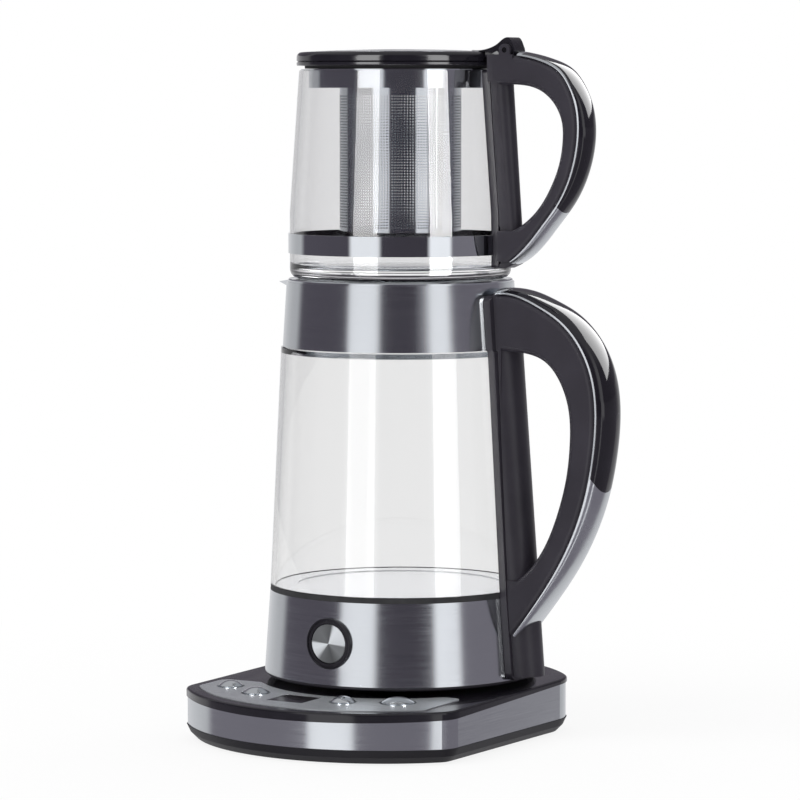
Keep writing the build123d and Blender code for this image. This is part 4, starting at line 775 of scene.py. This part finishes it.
# Strength of the studio's upright cards, by degrees round from the camera's direction:
# level with the object, below it, just above it, and high, where the wall behind is dark.
LEFT_CARDS = [
    (-180, 0.8), (-135, 0.5), (-124, 0.5), (-116, 0.09), (-55, 0.08), (-51, 0.97),
    (-23, 0.97), (-19, 0.06),
]
REAR_WALL = [(135, 0.5), (180, 0.8)]
CARDS = [
    *LEFT_CARDS, (27, 0.05), (31, 1.08), (51, 1.08), (55, 0.2), (118, 0.2), *REAR_WALL,
]
LOW_CARDS = [
    (-180, 0.8), (-124, 0.55), (-118, 0.2), (-46, 0.2), (-44, 1.0), (-19, 1.0), (-17, 0.2),
    (25, 0.18), (27, 1.0), (35, 1.0), (38, 0.19), (118, 0.19), (122, 0.5), (180, 0.8),
]
UPPER_CARDS = [
    *LEFT_CARDS, (14, 0.06), (22, 0.3), (30, 0.95), (47, 0.95), (51, 0.13), (118, 0.13),
    *REAR_WALL,
]
HIGH_CARDS = [(turn, 0.16 if abs(turn) > 130 else level) for turn, level in UPPER_CARDS]

# Sines of elevation between which each set of cards fades into the next.
LEVEL_FADE = (-0.12, -0.06)
UPPER_FADE = (0.025, 0.055)
HIGH_FADE = (0.08, 0.14)
CEILING_FADE = (0.35, 0.75)
CEILING = (0.45, 0.45, 0.46, 1.0)

# The wall behind, as the kettle's heating plate mirrors it after four faces of glass.
INNER_WALL = (1.5, 1.5, 1.52, 1.0)
BEFORE_FOURTH_FACE = 3.5


def upright_cards(tree, angle, cards):
    """The cards' brightness by angle; the dark ones lean to violet."""
    stops = []
    for turn, level in cards:
        violet = 0.12 * max(0.0, 1.0 - 2.5 * level)
        stops.append(((turn + 180) / 360,
                      (level, level * (1.0 - violet), level * (1.02 + violet), 1.0)))
    return tree.ramp(angle * SHARE_OF_TURN + 0.5, stops)


def set_surroundings(studio):
    """White to the camera and through glass, upright cards in reflections, even light else."""
    world = bpy.data.worlds.new("studio")
    world.use_nodes = True
    world.cycles.sampling_method = "NONE"
    bpy.context.scene.world = world
    tree = NodeTree(world.node_tree)
    way = tree.node("ShaderNodeTexCoord", output="Generated")
    turned = tree.node("ShaderNodeVectorRotate", {"rotation_type": "Z_AXIS"},
                       {"Vector": way, "Angle": -studio.azimuth})
    side, back, lift = tree.parts(turned)
    angle = side.arctan2(0.0 - back)
    cards = tree.mix(tree.rise(lift, LEVEL_FADE), upright_cards(tree, angle, LOW_CARDS),
                     upright_cards(tree, angle, CARDS))
    cards = tree.mix(tree.rise(lift, UPPER_FADE), cards,
                     upright_cards(tree, angle, UPPER_CARDS))
    high = tree.mix(tree.bounces("Transmission", BEFORE_FOURTH_FACE),
                    upright_cards(tree, angle, HIGH_CARDS), INNER_WALL)
    cards = tree.mix(tree.rise(lift, HIGH_FADE), cards, high)
    seen = tree.mix(tree.rise(lift, CEILING_FADE), cards, CEILING)
    colour = tree.mix(tree.bounces("Diffuse"), tree.mix(tree.straight(), seen, WHITE),
                      grey(studio.fill))
    background = tree.node("ShaderNodeBackground", None, {"Color": colour, "Strength": 1.0})
    tree.node("ShaderNodeOutputWorld", None, {"Surface": background})


def add_camera(studio):
    lens = bpy.data.cameras.new("camera")
    lens.sensor_width = SENSOR_WIDTH
    lens.lens = studio.focal * SENSOR_WIDTH / IMAGE_SIDE
    lens.shift_x = (IMAGE_SIDE / 2 - studio.centre_x) / IMAGE_SIDE
    lens.clip_start = 0.05
    lens.clip_end = 50.0
    camera = bpy.data.objects.new("camera", lens)
    place = direction(studio.azimuth, 0.0) * studio.distance
    place.z = studio.height
    aim_at(camera, place, Vector((0.0, 0.0, studio.aim)))
    bpy.context.scene.camera = camera


# ---------------------------------------------------------------- add-on

OPERATORS = (
    TEAMAKER_OT_base, TEAMAKER_OT_buttons, TEAMAKER_OT_kettle, TEAMAKER_OT_handles,
    TEAMAKER_OT_teapot, TEAMAKER_OT_inside, TEAMAKER_OT_stage,
)

SETTINGS = {
    "tea_maker_finish": FinishSettings,
    "tea_maker_infuser": InfuserSettings,
    "tea_maker_studio": StudioSettings,
}


class TEAMAKER_PT_panel(bpy.types.Panel):
    """Lists the tea maker's finishing steps and settings"""
    bl_idname = "TEAMAKER_PT_panel"
    bl_label = "Tea Maker"
    bl_space_type = "VIEW_3D"
    bl_region_type = "UI"
    bl_category = "Tea Maker"

    def draw(self, context):
        for operator in OPERATORS:
            self.layout.operator(operator.bl_idname)
        for group in SETTINGS:
            settings = getattr(context.scene, group)
            for name in settings.bl_rna.properties.keys():
                if name not in ("rna_type", "name"):
                    self.layout.prop(settings, name)


def register():
    for kind in (*SETTINGS.values(), *OPERATORS, TEAMAKER_PT_panel):
        bpy.utils.register_class(kind)
    for name, kind in SETTINGS.items():
        setattr(bpy.types.Scene, name, PointerProperty(type=kind))


def unregister():
    for name in SETTINGS:
        delattr(bpy.types.Scene, name)
    for kind in reversed((*SETTINGS.values(), *OPERATORS, TEAMAKER_PT_panel)):
        bpy.utils.unregister_class(kind)


def main():
    register()
    bpy.ops.teamaker.base()
    bpy.ops.teamaker.buttons()
    bpy.ops.teamaker.kettle()
    bpy.ops.teamaker.handles()
    bpy.ops.teamaker.teapot()
    bpy.ops.teamaker.inside()
    bpy.ops.teamaker.stage()


if __name__ == "__main__":
    main()
